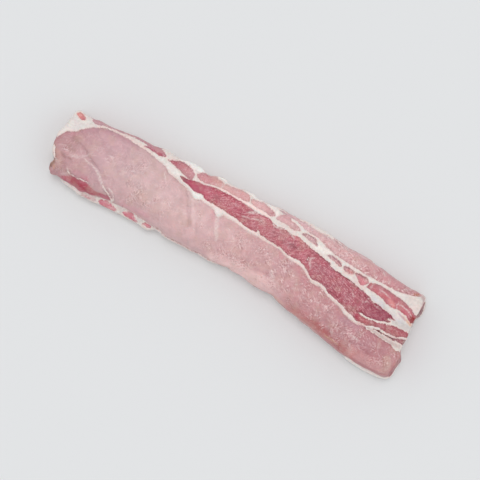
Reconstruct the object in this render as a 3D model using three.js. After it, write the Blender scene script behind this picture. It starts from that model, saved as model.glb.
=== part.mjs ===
// Whole raw boneless pork loin, lying on its fat cap with the boned-out face up.
// One solid piece of meat: a long rounded slab whose outline, thickness, muscle bulges and
// seam grooves are worked out from the sizes below.
// Frame: millimetres, +Z up. +X runs from the chump end to the rib end, +Y from the belly side
// to the chine side (where the backbone was), and the origin is under the middle, on the table.
import * as THREE from "three";

// ---- Driving sizes (mm) ----
const LENGTH = 600; // chump end to rib end
// Outline seen from above, one offset every 25 mm from x = -300 to x = +300.
const BELLY_EDGE = [
  -54, -54.5, -58, -60.5, -59.5, -57.5, -56.4, -55.2, -51.5, -51.6, -50.2, -49, -47, -45.3, -47,
  -47.8, -50.5, -55.2, -58.4, -61.8, -66.4, -70, -73.2, -73.6, -71,
];
const CHINE_EDGE = [
  44.5, 45.8, 48.8, 51.6, 54.8, 56.8, 60, 59.4, 61.4, 62.6, 65.2, 65.4, 66.6, 67, 69.8, 72, 73.8,
  73.4, 71.8, 70.2, 69.8, 67, 64.8, 64, 62.6,
];
// How far each end stands out, from the belly side (first) to the chine side (last).
const CHUMP_END = [-284, -287.5, -286.5, -294, -297.4, -299, -300, -296.6, -295, -293.4, -292];
const RIB_END = [296, 300, 300, 297, 292.4, 291, 290, 289.4, 290.4, 289, 286];

const FACE = [44, 47, 50, 51.5, 52, 51.5, 50.5, 50, 50, 51, 51.5, 50.5, 48.5]; // height of the face, every 50 mm
const EYE_BULGE = 4.8; // how far the big loin eye stands up between the belly side and its seam
const CHINE_FALL = 7; // how much lower the chine side lies
const BELLY = { round: 33, widest: 19, under: 15 }; // rounding over the top, height of the widest line, tuck under
const CHINE = { round: 15, widest: 23, under: 10 };

// Seams of fat between the muscles, as [x, y] along the face.
const SEAM_EYE = [
  [-300, 10], [-265, 32], [-220, 46], [-150, 42], [-100, 29], [-60, 23.5], [15, 20], [75, 14.5],
  [130, 3], [175, -8], [212, -20], [245, -16], [300, -24],
];
const SEAM_CHAIN = [
  [-125, 34], [-75, 47], [-15, 51], [60, 50.5], [115, 43], [160, 32], [205, 26], [245, 17], [300, 7],
];
const SEAM_OUTER = [[40, 63], [85, 59], [130, 51], [180, 48], [225, 49], [262, 56]];
const SEAM_WIDTH = 4.5; // half-width of the groove over a seam
const SEAM_DEPTH = 1.7;
const CHAIN_BULGE = 2.2; // how far the dark chain muscle stands up between its seams

const FINGER_PITCH = 36; // lumps of meat left between the feather bones
const FINGER_BULGE = 1.3;
const FINGERS = { from: -170, to: 110, first: -128 };

const END_ROUND = { chump: 8, rib: 5 }; // rounding of the rim of each cut end
const END_SWELL = { chump: 3.5, rib: 2 }; // how far each cut face swells out in the middle

// ---- Mesh steps ----
const STATIONS = 80; // along the length
const TOP_STEPS = 34; // across the face
const UNDER_STEPS = 14; // across the underside
const RIM_STEPS = 3; // around the rim of a cut end
const CAP_RINGS = 5; // from that rim to the middle of the cut face

// ---- Functions ----
const clamp01 = (a) => Math.min(1, Math.max(0, a));
const smooth = (a) => clamp01(a) ** 2 * (3 - 2 * clamp01(a));
const bell = (a) => Math.exp(-a * a);

// A smooth function through values evenly spaced from x = a to x = b.
function through(values, a, b) {
  const curve = new THREE.SplineCurve(values.map((y, i) => new THREE.Vector2(i, y)));
  return (x) => curve.getPoint(clamp01((x - a) / (b - a))).y;
}

// A smooth function y(x) through [x, y] knots, and the x range that it covers.
function seam(knots) {
  const n = knots.length - 1;
  const curve = new THREE.SplineCurve(knots.map(([x, y]) => new THREE.Vector2(x, y)));
  return {
    from: knots[0][0],
    to: knots[n][0],
    at(x) {
      let i = 0;
      while (i < n - 1 && x > knots[i + 1][0]) i++;
      const [x0, x1] = [knots[i][0], knots[i + 1][0]];
      return curve.getPoint((i + clamp01((x - x0) / (x1 - x0))) / n).y;
    },
  };
}

const bellyEdge = through(BELLY_EDGE, -LENGTH / 2, LENGTH / 2);
const chineEdge = through(CHINE_EDGE, -LENGTH / 2, LENGTH / 2);
const face = through(FACE, -LENGTH / 2, LENGTH / 2);
const chumpEnd = through(CHUMP_END, 0, 1);
const ribEnd = through(RIB_END, 0, 1);
const [eyeSeam, chainSeam, outerSeam] = [SEAM_EYE, SEAM_CHAIN, SEAM_OUTER].map(seam);

// Groove over one seam; it fades in over the seam's first and last 20 mm.
function groove(line, x, y) {
  const fade = smooth((x - line.from) / 20) * smooth((line.to - x) / 20);
  return SEAM_DEPTH * fade * bell((y - line.at(x)) / SEAM_WIDTH);
}

// How far a muscle stands up at y between its two borders: 0 on them, 1 midway.
function bulge(y, from, to) {
  const across = clamp01((y - from) / Math.max(1, to - from));
  return Math.sin(Math.PI * across) ** 0.8;
}

// Height of the face over (x, y) before its edges are rounded; w runs from 0 at the belly side to 1.
function faceHeight(x, y, w) {
  const low = eyeSeam.at(x);
  const high = chainSeam.at(x);
  let z = face(x) - CHINE_FALL * smooth((w - 0.4) / 0.6);
  z += EYE_BULGE * bulge(y, bellyEdge(x), low);
  z += CHAIN_BULGE * bulge(y, low, high) * smooth((x - chainSeam.from) / 30);
  if (x > FINGERS.from && x < FINGERS.to && y > high + 2) {
    const wave = Math.cos((2 * Math.PI * (x - FINGERS.first)) / FINGER_PITCH);
    z += FINGER_BULGE * wave * smooth((y - high - 2) / 6);
  }
  return z - groove(eyeSeam, x, y) - groove(chainSeam, x, y) - groove(outerSeam, x, y);
}

// Quarter-ellipse rise from 0 at the edge to 1 at a distance `reach` from it.
const rise = (distance, reach) => Math.sqrt(1 - (1 - clamp01(distance / reach)) ** 2);

// Where the rim of each cut end lies: its face swells out from there.
const chumpRim = (w) => chumpEnd(w) + END_SWELL.chump;
const ribRim = (w) => ribEnd(w) - END_SWELL.rib;

// One point of the skin. t runs along the length from 0 to 1, w across from belly (0) to chine (1).
function skin(t, w, upper) {
  const x = THREE.MathUtils.lerp(chumpRim(w), ribRim(w), t);
  const [low, high] = [bellyEdge(x), chineEdge(x)];
  const y = THREE.MathUtils.lerp(low, high, w);
  const side = w < 0.5 ? BELLY : CHINE;
  const inward = w < 0.5 ? y - low : high - y;
  // The height of the widest line changes gently from one side to the other.
  const widest = THREE.MathUtils.lerp(BELLY.widest, CHINE.widest, smooth(w));
  const z = upper
    ? widest + (faceHeight(x, y, w) - widest) * rise(inward, side.round)
    : widest * (1 - rise(inward, side.under));
  return new THREE.Vector3(x, y, z);
}

// The loop of skin points around the meat at t, from the belly edge over the face and back underneath.
function loop(t) {
  const spread = (a) => THREE.MathUtils.lerp(a, 0.5 - 0.5 * Math.cos(Math.PI * a), 0.72);
  const points = [];
  for (let i = 0; i < TOP_STEPS; i++) points.push(skin(t, spread(i / TOP_STEPS), true));
  for (let i = 0; i < UNDER_STEPS; i++) points.push(skin(t, spread(1 - i / UNDER_STEPS), false));
  return points;
}

// Draws a loop in towards its middle: by a distance, then by a share of what is left.
function drawnIn(points, distance, share) {
  const box = new THREE.Box3().setFromPoints(points);
  const middle = box.getCenter(new THREE.Vector3());
  const half = box.getSize(new THREE.Vector3()).multiplyScalar(0.5);
  return points.map((p) => {
    const q = p.clone();
    for (const axis of ["y", "z"])
      q[axis] = middle[axis] + (p[axis] - middle[axis]) * (1 - distance / half[axis]) * (1 - share);
    return q;
  });
}

// The loops of one cut end, from the middle of its face outwards.
function endLoops(atRib) {
  const radius = atRib ? END_ROUND.rib : END_ROUND.chump;
  const swell = (atRib ? 1 : -1) * (atRib ? END_SWELL.rib : END_SWELL.chump);
  const loops = [];
  for (let k = 1; k <= CAP_RINGS + RIM_STEPS; k++) {
    const turn = k <= CAP_RINGS ? 1 : 1 - (k - CAP_RINGS) / RIM_STEPS; // 1 on the face, 0 on the side
    const share = k <= CAP_RINGS ? 1 - k / CAP_RINGS : 0; // towards 1 in the middle of the face
    const back = (radius * (1 - Math.sin((turn * Math.PI) / 2))) / LENGTH;
    const inset = radius * (1 - Math.cos((turn * Math.PI) / 2));
    const ring = drawnIn(loop(atRib ? 1 - back : back), inset, share);
    // On the face itself, x follows the end's outline at the point's own place across the width.
    if (turn === 1)
      for (const p of ring) {
        const w = clamp01((p.y - bellyEdge(p.x)) / (chineEdge(p.x) - bellyEdge(p.x)));
        p.x = (atRib ? ribRim(w) : chumpRim(w)) + swell * (1 - (1 - share) ** 2);
      }
    loops.push(ring);
  }
  return loops;
}

function loinGeometry() {
  const chump = endLoops(false);
  const rib = endLoops(true).reverse();
  const [t0, t1] = [END_ROUND.chump / LENGTH, 1 - END_ROUND.rib / LENGTH];
  const body = [];
  for (let i = 1; i < STATIONS; i++) body.push(loop(THREE.MathUtils.lerp(t0, t1, i / STATIONS)));
  const loops = [...chump, ...body, ...rib];
  const around = loops[0].length;

  const middleOf = (ring) =>
    ring.reduce((sum, p) => sum.add(p), new THREE.Vector3()).divideScalar(ring.length);
  const points = loops.flat();
  const [first, last] = [points.length, points.length + 1];
  points.push(middleOf(loops[0]), middleOf(loops[loops.length - 1]));

  const index = [];
  for (let i = 0; i + 1 < loops.length; i++)
    for (let j = 0; j < around; j++) {
      const k = (j + 1) % around;
      const [a, b, c, d] = [i * around + j, i * around + k, (i + 1) * around + k, (i + 1) * around + j];
      index.push(a, d, b, b, d, c);
    }
  for (let j = 0; j < around; j++) {
    const k = (j + 1) % around;
    const end = (loops.length - 1) * around;
    index.push(first, j, k, last, end + k, end + j);
  }
  const geometry = new THREE.BufferGeometry().setFromPoints(points);
  geometry.setIndex(index);
  geometry.computeVertexNormals();
  return geometry;
}

const rawPork = new THREE.MeshStandardMaterial({ color: 0xcf9c9e, roughness: 0.5, metalness: 0 });
const loin = new THREE.Mesh(loinGeometry(), rawPork);
loin.name = "pork_loin";

const group = new THREE.Group();
group.add(loin);

export default group;
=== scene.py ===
"""Whole raw boneless pork loin on its fat cap, boned side up: the looks.

One closed mesh. Its outline, muscle bulges, seams, patches and wrinkles are worked out from the
lines drawn below; the same lines say where fat and which muscle lie, and the material reads that
from attributes of the mesh. Lengths in this file are millimetres until the mesh is made.
+X runs from the chump end to the rib end, +Y from the belly side to the chine side, +Z up.
"""

import math

import bpy
import numpy as np
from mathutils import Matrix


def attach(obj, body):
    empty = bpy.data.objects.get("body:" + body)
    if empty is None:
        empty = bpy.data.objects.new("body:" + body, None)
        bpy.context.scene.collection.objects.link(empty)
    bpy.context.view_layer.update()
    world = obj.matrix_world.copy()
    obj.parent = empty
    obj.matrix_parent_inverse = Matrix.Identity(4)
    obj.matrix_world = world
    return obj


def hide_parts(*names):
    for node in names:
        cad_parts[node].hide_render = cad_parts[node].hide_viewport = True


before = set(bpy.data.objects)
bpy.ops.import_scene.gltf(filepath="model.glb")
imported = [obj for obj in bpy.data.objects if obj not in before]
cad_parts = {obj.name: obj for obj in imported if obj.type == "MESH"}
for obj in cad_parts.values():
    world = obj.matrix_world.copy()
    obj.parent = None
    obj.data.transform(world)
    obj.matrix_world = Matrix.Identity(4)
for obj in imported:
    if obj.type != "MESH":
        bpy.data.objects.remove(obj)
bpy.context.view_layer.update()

# ---------------------------------------------------------------------------------------------
# Drawing frame: (u, v) is the plan seen from above, u along the loin and v across it.
# ---------------------------------------------------------------------------------------------
UNIT = 1.46  # mm for one drawing unit, at the height DRAWN_Z
SHIFT_U, SHIFT_V = 9.2, 2.05  # where the drawing's zero lies against the loin's middle
EYE_X, EYE_Y, EYE_Z = 7.83, -0.20, 3000.0  # where the plan is seen from
DRAWN_Z = 40.0
EDGE_Z = 20.0  # height of the widest line, which makes the outline


def to_mm(u, v, z):
    grow = (EYE_Z - z) / (EYE_Z - DRAWN_Z)
    x = EYE_X + (UNIT * (np.asarray(u) + SHIFT_U) - EYE_X) * grow
    y = EYE_Y + (UNIT * (np.asarray(v) + SHIFT_V) - EYE_Y) * grow
    return x, y


def to_drawing(x, y, z):
    grow = (EYE_Z - DRAWN_Z) / (EYE_Z - z)
    u = (EYE_X + (x - EYE_X) * grow) / UNIT - SHIFT_U
    v = (EYE_Y + (y - EYE_Y) * grow) / UNIT - SHIFT_V
    return u, v


# ---------------------------------------------------------------------------------------------
# Outline, as (u, v)
# ---------------------------------------------------------------------------------------------
CHINE_LINE = [
    (-210, 28.8), (-207.4, 29.9), (-203, 29.4), (-200, 28.8), (-194, 29), (-190, 29.3), (-185, 31),
    (-178, 31.5), (-170, 31.9), (-164, 32.8), (-158, 33.8), (-154, 34.9), (-148, 35.4), (-142, 36.1),
    (-135, 36.6), (-126, 36.7), (-121, 37.6), (-116, 38.2), (-111, 39.5), (-106, 39), (-100, 38),
    (-96, 37.4), (-92, 38), (-88, 39.5), (-84, 40.4), (-79, 40.7), (-72, 40.3), (-66, 39.3),
    (-62, 39.3), (-58, 41.2), (-52, 42.7), (-48, 43.3), (-43, 41.8), (-40, 41.2), (-34, 41.9),
    (-29, 42.7), (-25, 43.9), (-19, 43.8), (-15, 44.3), (-9, 42.8), (-4, 43.1), (2, 43.3), (9, 43.9),
    (14, 45.3), (25, 45.9), (34, 46.8), (42, 47.6), (52, 48.2), (64, 48.3), (74, 47.6), (84, 46.8),
    (92, 45.9), (100, 45.9), (112, 46.1), (119, 46), (126, 45), (136, 44.3), (143, 43), (152, 42.3),
    (162, 41.8), (169, 41.5), (174, 42.1), (180, 41.7), (185, 41.2), (188, 39.8),
]
BELLY_LINE = [
    (-204, -39.6), (-201, -40.3), (-198, -39.4), (-195, -38.2), (-192, -38.3), (-188, -39.9),
    (-184, -41.3), (-178, -42), (-172, -42.6), (-168, -43.8), (-165, -44), (-161, -43.2),
    (-155, -43.6), (-149, -42.9), (-143, -41.9), (-134, -41.3), (-127, -40.8), (-122.4, -40.7),
    (-121.2, -39.7), (-119.6, -40.2), (-112, -40.2), (-107, -39.4), (-100, -39.5), (-95, -40.2),
    (-90, -40.5), (-87, -39.1), (-84, -37.1), (-81, -35.8), (-77, -36.3), (-71, -37.6), (-66, -37.9),
    (-61, -37.2), (-52, -36.7), (-41, -36.4), (-34, -35.5), (-26, -35.5), (-19, -35.9), (-13, -35),
    (-7, -33.6), (-1, -32.5), (6, -33.1), (18, -33.2), (26, -34.4), (36, -35.2), (44, -34.4),
    (50, -34), (55, -35.1), (61, -36.8), (67, -38.2), (73, -39.9), (82, -40.6), (90, -42.3),
    (99, -43.5), (108, -45), (117, -46.4), (126, -48), (134, -49.4), (142, -50), (150, -49.9),
    (158, -50.6), (166, -50.6), (174, -50.2), (183, -49.8), (189, -49), (193, -47.6), (195.4, -45.4),
]
CHUMP_LINE = [  # (v, u) of the chump end
    (-40, -203.2), (-38, -204.6), (-35, -206), (-32, -206.7), (-29, -205.6), (-26.5, -204.7),
    (-24.5, -205.4), (-22, -208.4), (-19, -210.6), (-15, -212.3), (-11, -213.3), (-6, -214.1),
    (0, -214.9), (3, -214.3), (6, -213), (10, -211.6), (16, -211.2), (21, -210.3), (25, -210.4),
    (28, -210.2), (29.6, -209.2),
]
RIB_LINE = [  # (v, u) of the rib end
    (-49, 192.2), (-47, 195), (-44, 196), (-40, 196.2), (-36, 195.8), (-32, 195.8), (-28, 196.6),
    (-25.4, 196), (-22.4, 194.2), (-19.6, 191.8), (-17, 190.3), (-13, 189.6), (-8, 189.6), (-3, 189.4),
    (1, 188.9), (6, 188.4), (10, 187.8), (14, 187.6), (17, 188), (19, 188.9), (22, 190), (26, 190.6),
    (30, 190.2), (33, 189.2), (37, 188.1), (40, 187.2),
]
RIB_SETBACK = [  # (v, units): how far the face's rim lies behind the foot of the rib end
    (-50, 1.2), (-45, 2.8), (-40, 3.6), (-33, 3.7), (-28, 4.3), (-24, 3.8), (-20, 2.3), (-16, 1.5), (-8, 1.5),
    (0, 1.5), (14, 1.5), (17, 2), (19, 3), (22, 4.2), (26, 4.8), (30, 4.3), (33, 3), (37, 1.6), (40, 1.3),
]
CHUMP_SETBACK = [(-40, 0.3), (-30, 0.3), (-22, 0.3), (-10, 0.2), (0, 0.2), (10, 0.2), (30, 0.2)]
LEDGE = [  # (u, units): how wide the fat shows as a ledge along the belly side of the chump half
    (-215, 0), (-191, 0), (-184, 2.7), (-168, 3.7), (-158, 5.3), (-148, 7.3), (-128, 8.1),
    (-112, 8.5), (-104, 7.5), (-92, 7.6), (-87, 5.6), (-83, 3), (-77, 2.2), (-60, 1.6), (-40, 1.3),
    (-12, 0.7), (-4, 0), (200, 0),
]
CAP_LIP = [  # (u, units): how far the fat cap sticks out beyond the meat on the belly side
    (-215, 0), (140, 0), (146.5, 0.4), (149, 1.5), (153, 2), (158, 2.2), (168, 2.2), (178, 2.1),
    (186, 1.6), (191, 1.5), (196, 1.3),
]

# ---------------------------------------------------------------------------------------------
# Sizes of the section (mm)
# ---------------------------------------------------------------------------------------------
FACE = [44, 47, 50, 51.5, 52, 51.5, 50.5, 50, 50, 51, 51.5, 50.5, 48.5]  # face height, every 50 mm
EYE_BULGE = 4.8
CHAIN_BULGE = 2.2
CHINE_FALL = 7.0
BELLY_ROUND, BELLY_WIDEST, BELLY_UNDER = 27.0, 19.0, 14.0
LEDGE_RISE = 9.0  # from the edge of the ledge to the foot of the eye
CHINE_ROUND, CHINE_WIDEST, CHINE_UNDER = 13.0, 23.0, 10.0
END_ROUND = (4.0, 3.0)  # rounding of the rim of the chump end and the rib end
END_SWELL = (1.0, 1.2)
AROUND = 200  # mesh points around the section
STATIONS = 450  # sections along the length
RIM_STEPS = 5
CAP_RINGS = 16

# ---------------------------------------------------------------------------------------------
# Tissue lines, as (u, v)
# ---------------------------------------------------------------------------------------------
# Upper border of the big pale eye muscle: the lower edge of the main fat seam.
EYE_BORDER = [
    (-220, -1), (-214, 0.4), (-211.5, 2.4), (-207.5, 5.2), (-203, 7.6), (-200, 10.4), (-196.7, 14.3),
    (-192.5, 18.2), (-187, 22), (-181, 25.8), (-174, 28), (-166, 29.3), (-158, 29.6), (-148, 29.3),
    (-140, 28.7), (-131, 28.4), (-124, 27.8), (-116, 26.2), (-109, 25), (-105, 24.3), (-102, 21.7),
    (-98, 20.1), (-94, 19.6), (-90, 18.7), (-86, 17.8), (-79, 17.1), (-74, 15.4), (-69.5, 13.6),
    (-66, 11.3), (-62.5, 10.7), (-59, 12.2), (-57, 13), (-54, 12.6), (-45, 12.2), (-41, 10.6),
    (-38.4, 8.5), (-36.4, 6.7), (-34.6, 6.5), (-33, 7.9), (-31.5, 10), (-28, 11.3), (-23, 11),
    (-15, 11), (-9, 9.9), (-1, 9.5), (5, 10.2), (10, 10.7), (15, 9.9), (25, 10), (34, 9.9),
    (39, 8.4), (45, 6.8), (51, 6), (60, 5.9), (65, 4.8), (69, 2.7), (73, -0.3), (77, -2),
    (82, -2.9), (87, -2.9), (92, -3), (96, -4.4), (100, -6.6), (105, -8), (112, -9.1),
    (118, -10.9), (123, -13.6), (128, -15), (134, -16), (138, -16.3), (142, -15.4), (147, -14.9),
    (152, -15.4), (160, -16.4), (172, -16.9), (179, -17.3), (183, -18.7), (186, -19.6), (189.5, -18.6),
    (200, -18.4),
]
# Upper border of the fat that shows along the belly side of the chump half.
RIM_BORDER = [
    (-191, -41.5), (-188, -39.2), (-184, -38.7), (-180, -38.9), (-176.5, -39.9), (-174.6, -40.6),
    (-173.9, -38.6), (-172.6, -39.9), (-168, -40.4), (-164, -39.4), (-159, -38.5), (-155, -38),
    (-151, -36.8), (-147, -35.7), (-142, -34.8), (-136, -34.1), (-131.5, -33.6), (-126, -33.1),
    (-118, -32.4), (-110, -31.9), (-106, -32.5), (-101, -32.7), (-94, -32.9), (-87, -34),
    (-82, -34.6), (-79, -33.2), (-76.5, -34.9), (-72, -36.3), (-66, -36.7), (-60, -36.2),
    (-50, -35.7), (-40, -35.4), (-32, -34.7), (-22, -35), (-14, -34.6), (-8, -34.4), (0, -35.5),
]

# Dark chain muscle and the pink strip under it.
CHAIN = [
    (-87.6, 23.4), (-84, 24.4), (-79, 25), (-75, 26), (-70, 27), (-64, 28), (-58, 29.4), (-53, 30.8),
    (-49, 31.6), (-45, 31.4), (-38, 31.9), (-30, 32.2), (-22, 32), (-14, 31.5), (-9.2, 30.9),
    (-5, 30.2), (0, 30), (4, 31.2), (8, 31.6), (12, 30.8), (15, 30), (17, 29), (18.6, 28.5),
    (21, 28.5), (25, 29), (29, 29.6), (33, 29.5), (36.5, 29.1), (39, 28.7), (41, 29.2), (44, 30),
    (49, 29.4), (53, 28.2), (58, 27.1), (66, 26.1), (74, 24.8), (81, 23.7), (86.3, 23), (86.8, 21),
    (89, 20.2), (95, 19.5), (104, 18.9), (112, 18.3), (120, 17), (128, 15.7), (134, 14.2),
    (138.4, 13.2), (139.6, 11.9), (145, 11.3), (150, 11.1), (153.5, 10.2), (158, 9.7), (165, 8.3),
    (171.4, 6.2), (167.4, 4.8), (164, 3.6), (167.8, 2), (165.4, 0.4), (160, -1.3), (154, -2.9),
    (148, -4.4), (142, -5.1), (137, -5), (134, -6), (131, -9), (126, -10.3), (121.5, -8.8),
    (117, -7.4), (110, -6), (104, -5), (99.5, -3.7), (96, -2.2), (92.5, -0.5), (88, 0.1), (82, 0.2),
    (78, -0.2), (75, 1), (71, 3.9), (67, 6.1), (63, 8.2), (59, 9.3), (54, 9.2), (50, 8.6), (45, 9),
    (40.5, 9.7), (37, 11.2), (30, 11.5), (22, 11.9), (14, 12.5), (10, 13.2), (7.6, 14.9), (5.6, 12.6),
    (0, 11.9), (-6, 12.3), (-12, 13.3), (-20, 14.3), (-30, 15), (-38, 15.2), (-46, 14.9), (-53, 15.2),
    (-57, 16.6), (-58.6, 18.2), (-62, 17.9), (-67, 16.6), (-72, 18), (-78, 19.7), (-84, 21),
]
STRIP = [
    (120, -5.5), (128, -5), (134.6, -5.9), (138, -7), (144, -6.9), (150, -5.9), (156, -4.4),
    (162, -2.7), (168, -0.9), (173, 0.4), (178, 1.2), (183, 1.3), (187, 1.1), (190.4, 0.5), (191.6, -1.2),
    (190.4, -3), (185.6, -4.6), (181.5, -7.1), (177, -8.5), (168, -8.9), (159, -9.1), (154.5, -10),
    (150.5, -11.9), (146.5, -12.9), (141, -13.6), (136, -13.4), (130, -11.8), (124, -9.9), (119, -8),
]
# Patches of meat along the chine side, each with its colours from one end to the other.
PATCHES = {
    "spot": [(-208.3, 26), (-207.2, 28), (-205, 28.9), (-202, 28.6), (-199.3, 27.3), (-197.7, 25.2),
             (-198.8, 23), (-201.5, 22.3), (-204.8, 22.9), (-207.3, 24.2)],
    "strip": [(-191.8, 27.3), (-190, 29.2), (-184, 31.2), (-174, 31.9), (-164, 33.2), (-154, 35.4),
              (-142, 36.7), (-128, 37.2), (-120, 37.9), (-116.5, 37.3), (-112, 35.3), (-109.2, 33.6),
              (-110, 32.2), (-113.5, 30.6), (-118, 30.4), (-122, 31), (-126, 31.2), (-129, 31.6),
              (-133.3, 30.7), (-132.6, 32.2), (-131, 33.2), (-137, 33.6), (-144, 33.3), (-150, 33.2),
              (-155, 32.1), (-162, 31.2), (-170, 30.1), (-177, 28.7), (-183, 27), (-188.5, 25.9)],
    "1": [(-106.5, 30.9), (-103, 32.8), (-99, 34.8), (-95, 36.4), (-91, 37.2), (-85, 36.6), (-80, 35.3),
          (-76.4, 33.2), (-74.8, 30.4), (-74.8, 27.6), (-76, 25.5), (-81, 25.3), (-86, 26),
          (-90, 27.7), (-95, 28.8), (-99, 29.6), (-103, 30.2)],
    "2": [(-74, 33.6), (-72, 36), (-69, 38.4), (-66, 39.8), (-62.5, 40), (-59, 41.4), (-56, 41.6),
          (-52, 40.4), (-48, 39.4), (-44.8, 38.4), (-44.2, 35), (-45, 33), (-50, 32.5), (-54, 32),
          (-58.4, 30.6), (-62, 29.5), (-67, 29.4), (-71, 30.4), (-73.4, 31.6)],
    "3": [(-46.8, 36), (-46, 38.6), (-39, 40.2), (-33, 41.4), (-28, 42.4), (-24, 43), (-20, 42.5),
          (-17.5, 41), (-15.3, 38.3), (-14.6, 36), (-16.4, 34.4), (-20, 33.9), (-25, 33.7),
          (-31, 33.5), (-38, 33.3), (-43, 33.4)],
    "4": [(-14.4, 38), (-13, 39.9), (-9, 41.1), (-5, 42.2), (-2.5, 43), (1, 41.9), (6, 40.7),
          (11, 39.5), (14, 38.2), (15, 36.3), (13, 34.4), (9.6, 33.8), (5, 34.2), (0, 34.2),
          (-6, 33.9), (-11, 34.6), (-13.6, 36)],
    "5": [(15.9, 36.2), (17.6, 38.8), (20.4, 41), (22.6, 43), (25, 44.8), (29, 44.4), (30.4, 42),
          (31.6, 40.4), (36, 39.8), (40, 38.8), (43.8, 36.4), (42.6, 34.7), (38, 33.3), (34, 33.5),
          (29, 33.8), (23, 33.7), (17.6, 34.4)],
    "6": [(46.6, 34.6), (49.4, 36.4), (53, 37.1), (57, 37.3), (61, 36.6), (64.2, 34.6), (66, 32),
          (65, 31), (60, 31.4), (55, 32.1), (50, 33.1)],
    "7": [(78.6, 28.5), (82, 30.1), (86, 30.6), (91, 30.1), (95.4, 28.7), (97.7, 26.8), (96.2, 24.9),
          (93, 25.2), (89, 26.2), (83, 26.9)],
    "8": [(99.7, 27.2), (102, 28.8), (106, 29), (110.6, 27.9), (112.7, 26.2), (110.8, 23.8),
          (106, 23), (102, 23.2), (100.2, 24.9)],
    "9": [(112.5, 26.8), (115.2, 28.4), (120, 29), (125.2, 28.9), (128.3, 27.1), (129.1, 24.6),
          (127.3, 21.7), (124.8, 20), (121.8, 20), (118.7, 21.9), (115.2, 24.2)],
    "10": [(128.4, 20), (130, 25.6), (133, 27.2), (137, 28.6), (145, 29.1), (154, 28.6), (163, 27.4),
           (171, 26.2), (177, 24.6), (183, 22), (187.4, 19.6), (188.6, 16), (187.6, 12), (185.6, 11.2),
           (181, 13.2), (176, 15.4), (171, 16.5), (165, 15.8), (159, 15.4), (153, 16.3), (148, 18.4),
           (142, 19.5), (134, 19.6)],
    "band": [(14.6, 43.5), (17.6, 44.2), (21, 44.7), (25, 45.6), (31, 46.6), (40, 47.6), (52, 47.4), (64, 47.5), (74, 47.4),
             (86, 47.4), (100, 47), (114, 47), (124, 46), (136, 45), (146, 43.4), (158, 42.8),
             (168, 42.4), (175, 43), (180, 42), (181.2, 39.8), (178, 37.6), (172, 35.5), (165, 33.6),
             (158, 32.2), (149, 31.6), (140, 31.4), (131, 31.4), (122, 30.9), (112, 31.4),
             (103, 31.8), (94, 32), (86, 32.6), (79, 33.9), (75, 34.9), (72, 36.2), (66, 37.9), (59, 38.9),
             (50, 38.8), (45, 40.2), (40, 42), (34, 42.8), (29, 43), (25, 42.6), (21, 42.6), (17.4, 42.8)],
}
RIM_PATCHES = [  # pink spots in the fat of the belly-side rim
    [(-163, -41.4), (-159, -40.4), (-153, -40), (-147.6, -40.2), (-146.4, -40.8), (-151, -41.8), (-157, -42.6), (-161.6, -42.6)],
    [(-144.2, -38.4), (-141.6, -36.2), (-137, -35.1), (-132, -35), (-127.8, -36.1), (-125, -38.2),
     (-126, -40.6), (-130, -42), (-136, -42.6), (-142.4, -42.2)],
    [(-119, -36), (-116.8, -33.8), (-112, -32.8), (-108, -33.7), (-104, -35.1), (-100, -36.8),
     (-98.6, -38.4), (-103, -39.4), (-109, -39.6), (-114, -39.2), (-118, -38.2)],
    [(-95.6, -35.9), (-93.8, -34.3), (-91.4, -34.4), (-89.6, -35.7), (-89.6, -37.2), (-91.4, -38.2), (-94, -38.1),
     (-95.4, -37.2)],
]
# Lines and tongues of white fat, and one painted highlight: (u, v, half-width)
FAT_AND_GLINT_STROKES = [
    # rim of the chump end
    [(-212.4, 5, 2.2), (-213.2, 2, 2.0), (-213.8, -1, 1.5), (-214, -3.8, 0.8), (-213.6, -6.4, 0.1)],
    [(-212.8, -12, 0.3), (-211.8, -14.6, 0.9), (-210.4, -17.8, 1.1), (-208.4, -20.6, 1.1), (-206.4, -22.6, 0.8),
     (-204.6, -24, 0.2)],
    # seam across the chump half of the eye
    [(-150.6, -24, 0.05), (-147.6, -25.7, 0.5), (-144, -27.4, 0.62), (-140.4, -29.3, 0.55), (-136, -31.7, 0.5),
     (-131.6, -34, 0.8)],
    [(-135.9, -27.6, 0.45), (-134.2, -30.4, 0.65), (-132, -33.6, 0.9)],
    # above the dark lower patch
    [(-188.8, -29, 0.12), (-186.4, -29.2, 0.36), (-184, -30.3, 0.4), (-180, -30.4, 0.38), (-175, -30.3, 0.36),
     (-170.6, -29.3, 0.32), (-166, -28.9, 0.26), (-162, -30, 0.1)],
    # between the chain muscle and its pink strip
    [(134.6, -4.6, 0.1), (137, -5.8, 0.3), (141, -6.4, 0.36), (146, -6, 0.3), (152, -4.7, 0.3),
     (158, -3, 0.3), (163, -1.3, 0.42), (168, 0.6, 0.8)],
    # tongues into the chain muscle
    [(6.6, 11, 0.9), (7.4, 13.4, 0.6), (6.4, 15.6, 0.25)],
    # strand in the strip of the chump half
    [(-163, 31.2, 0.1), (-156, 32.4, 0.3), (-149, 33.8, 0.36), (-143, 35, 0.15)],
    # between patches 9 and 10
    [(130.6, 27.6, 0.7), (129.6, 25, 0.5), (128.4, 22, 0.5), (127.4, 19.6, 0.6)],
    # top rim over the band
    [(36, 46.6, 0.4), (44, 47.2, 0.9), (50, 47.3, 1.3), (58, 47.4, 1.4), (66, 47.2, 1.1), (74, 46.7, 0.8), (84, 45.9, 0.5), (94, 45.2, 0.35)],
    # fat at the lower right corner of the chain seam, and the white strip under the slit
    [(186.6, -18.4, 0.5), (188.6, -15.4, 0.7), (190, -11.6, 0.4)],
    # painted highlight: a bright glint in the chain muscle, drawn as a fleck of white fat
    [(64.4, 14.4, 0.25), (64.5, 16.2, 0.42), (64.4, 18.2, 0.25)],
]
SLIT = [(155.6, -12.2, 0.35), (160, -11.8, 0.7), (168, -11.8, 0.8), (175, -12, 0.85),
        (180, -10.9, 1.4), (185, -9.9, 2.2), (190.6, -8.8, 3.0)]

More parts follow.
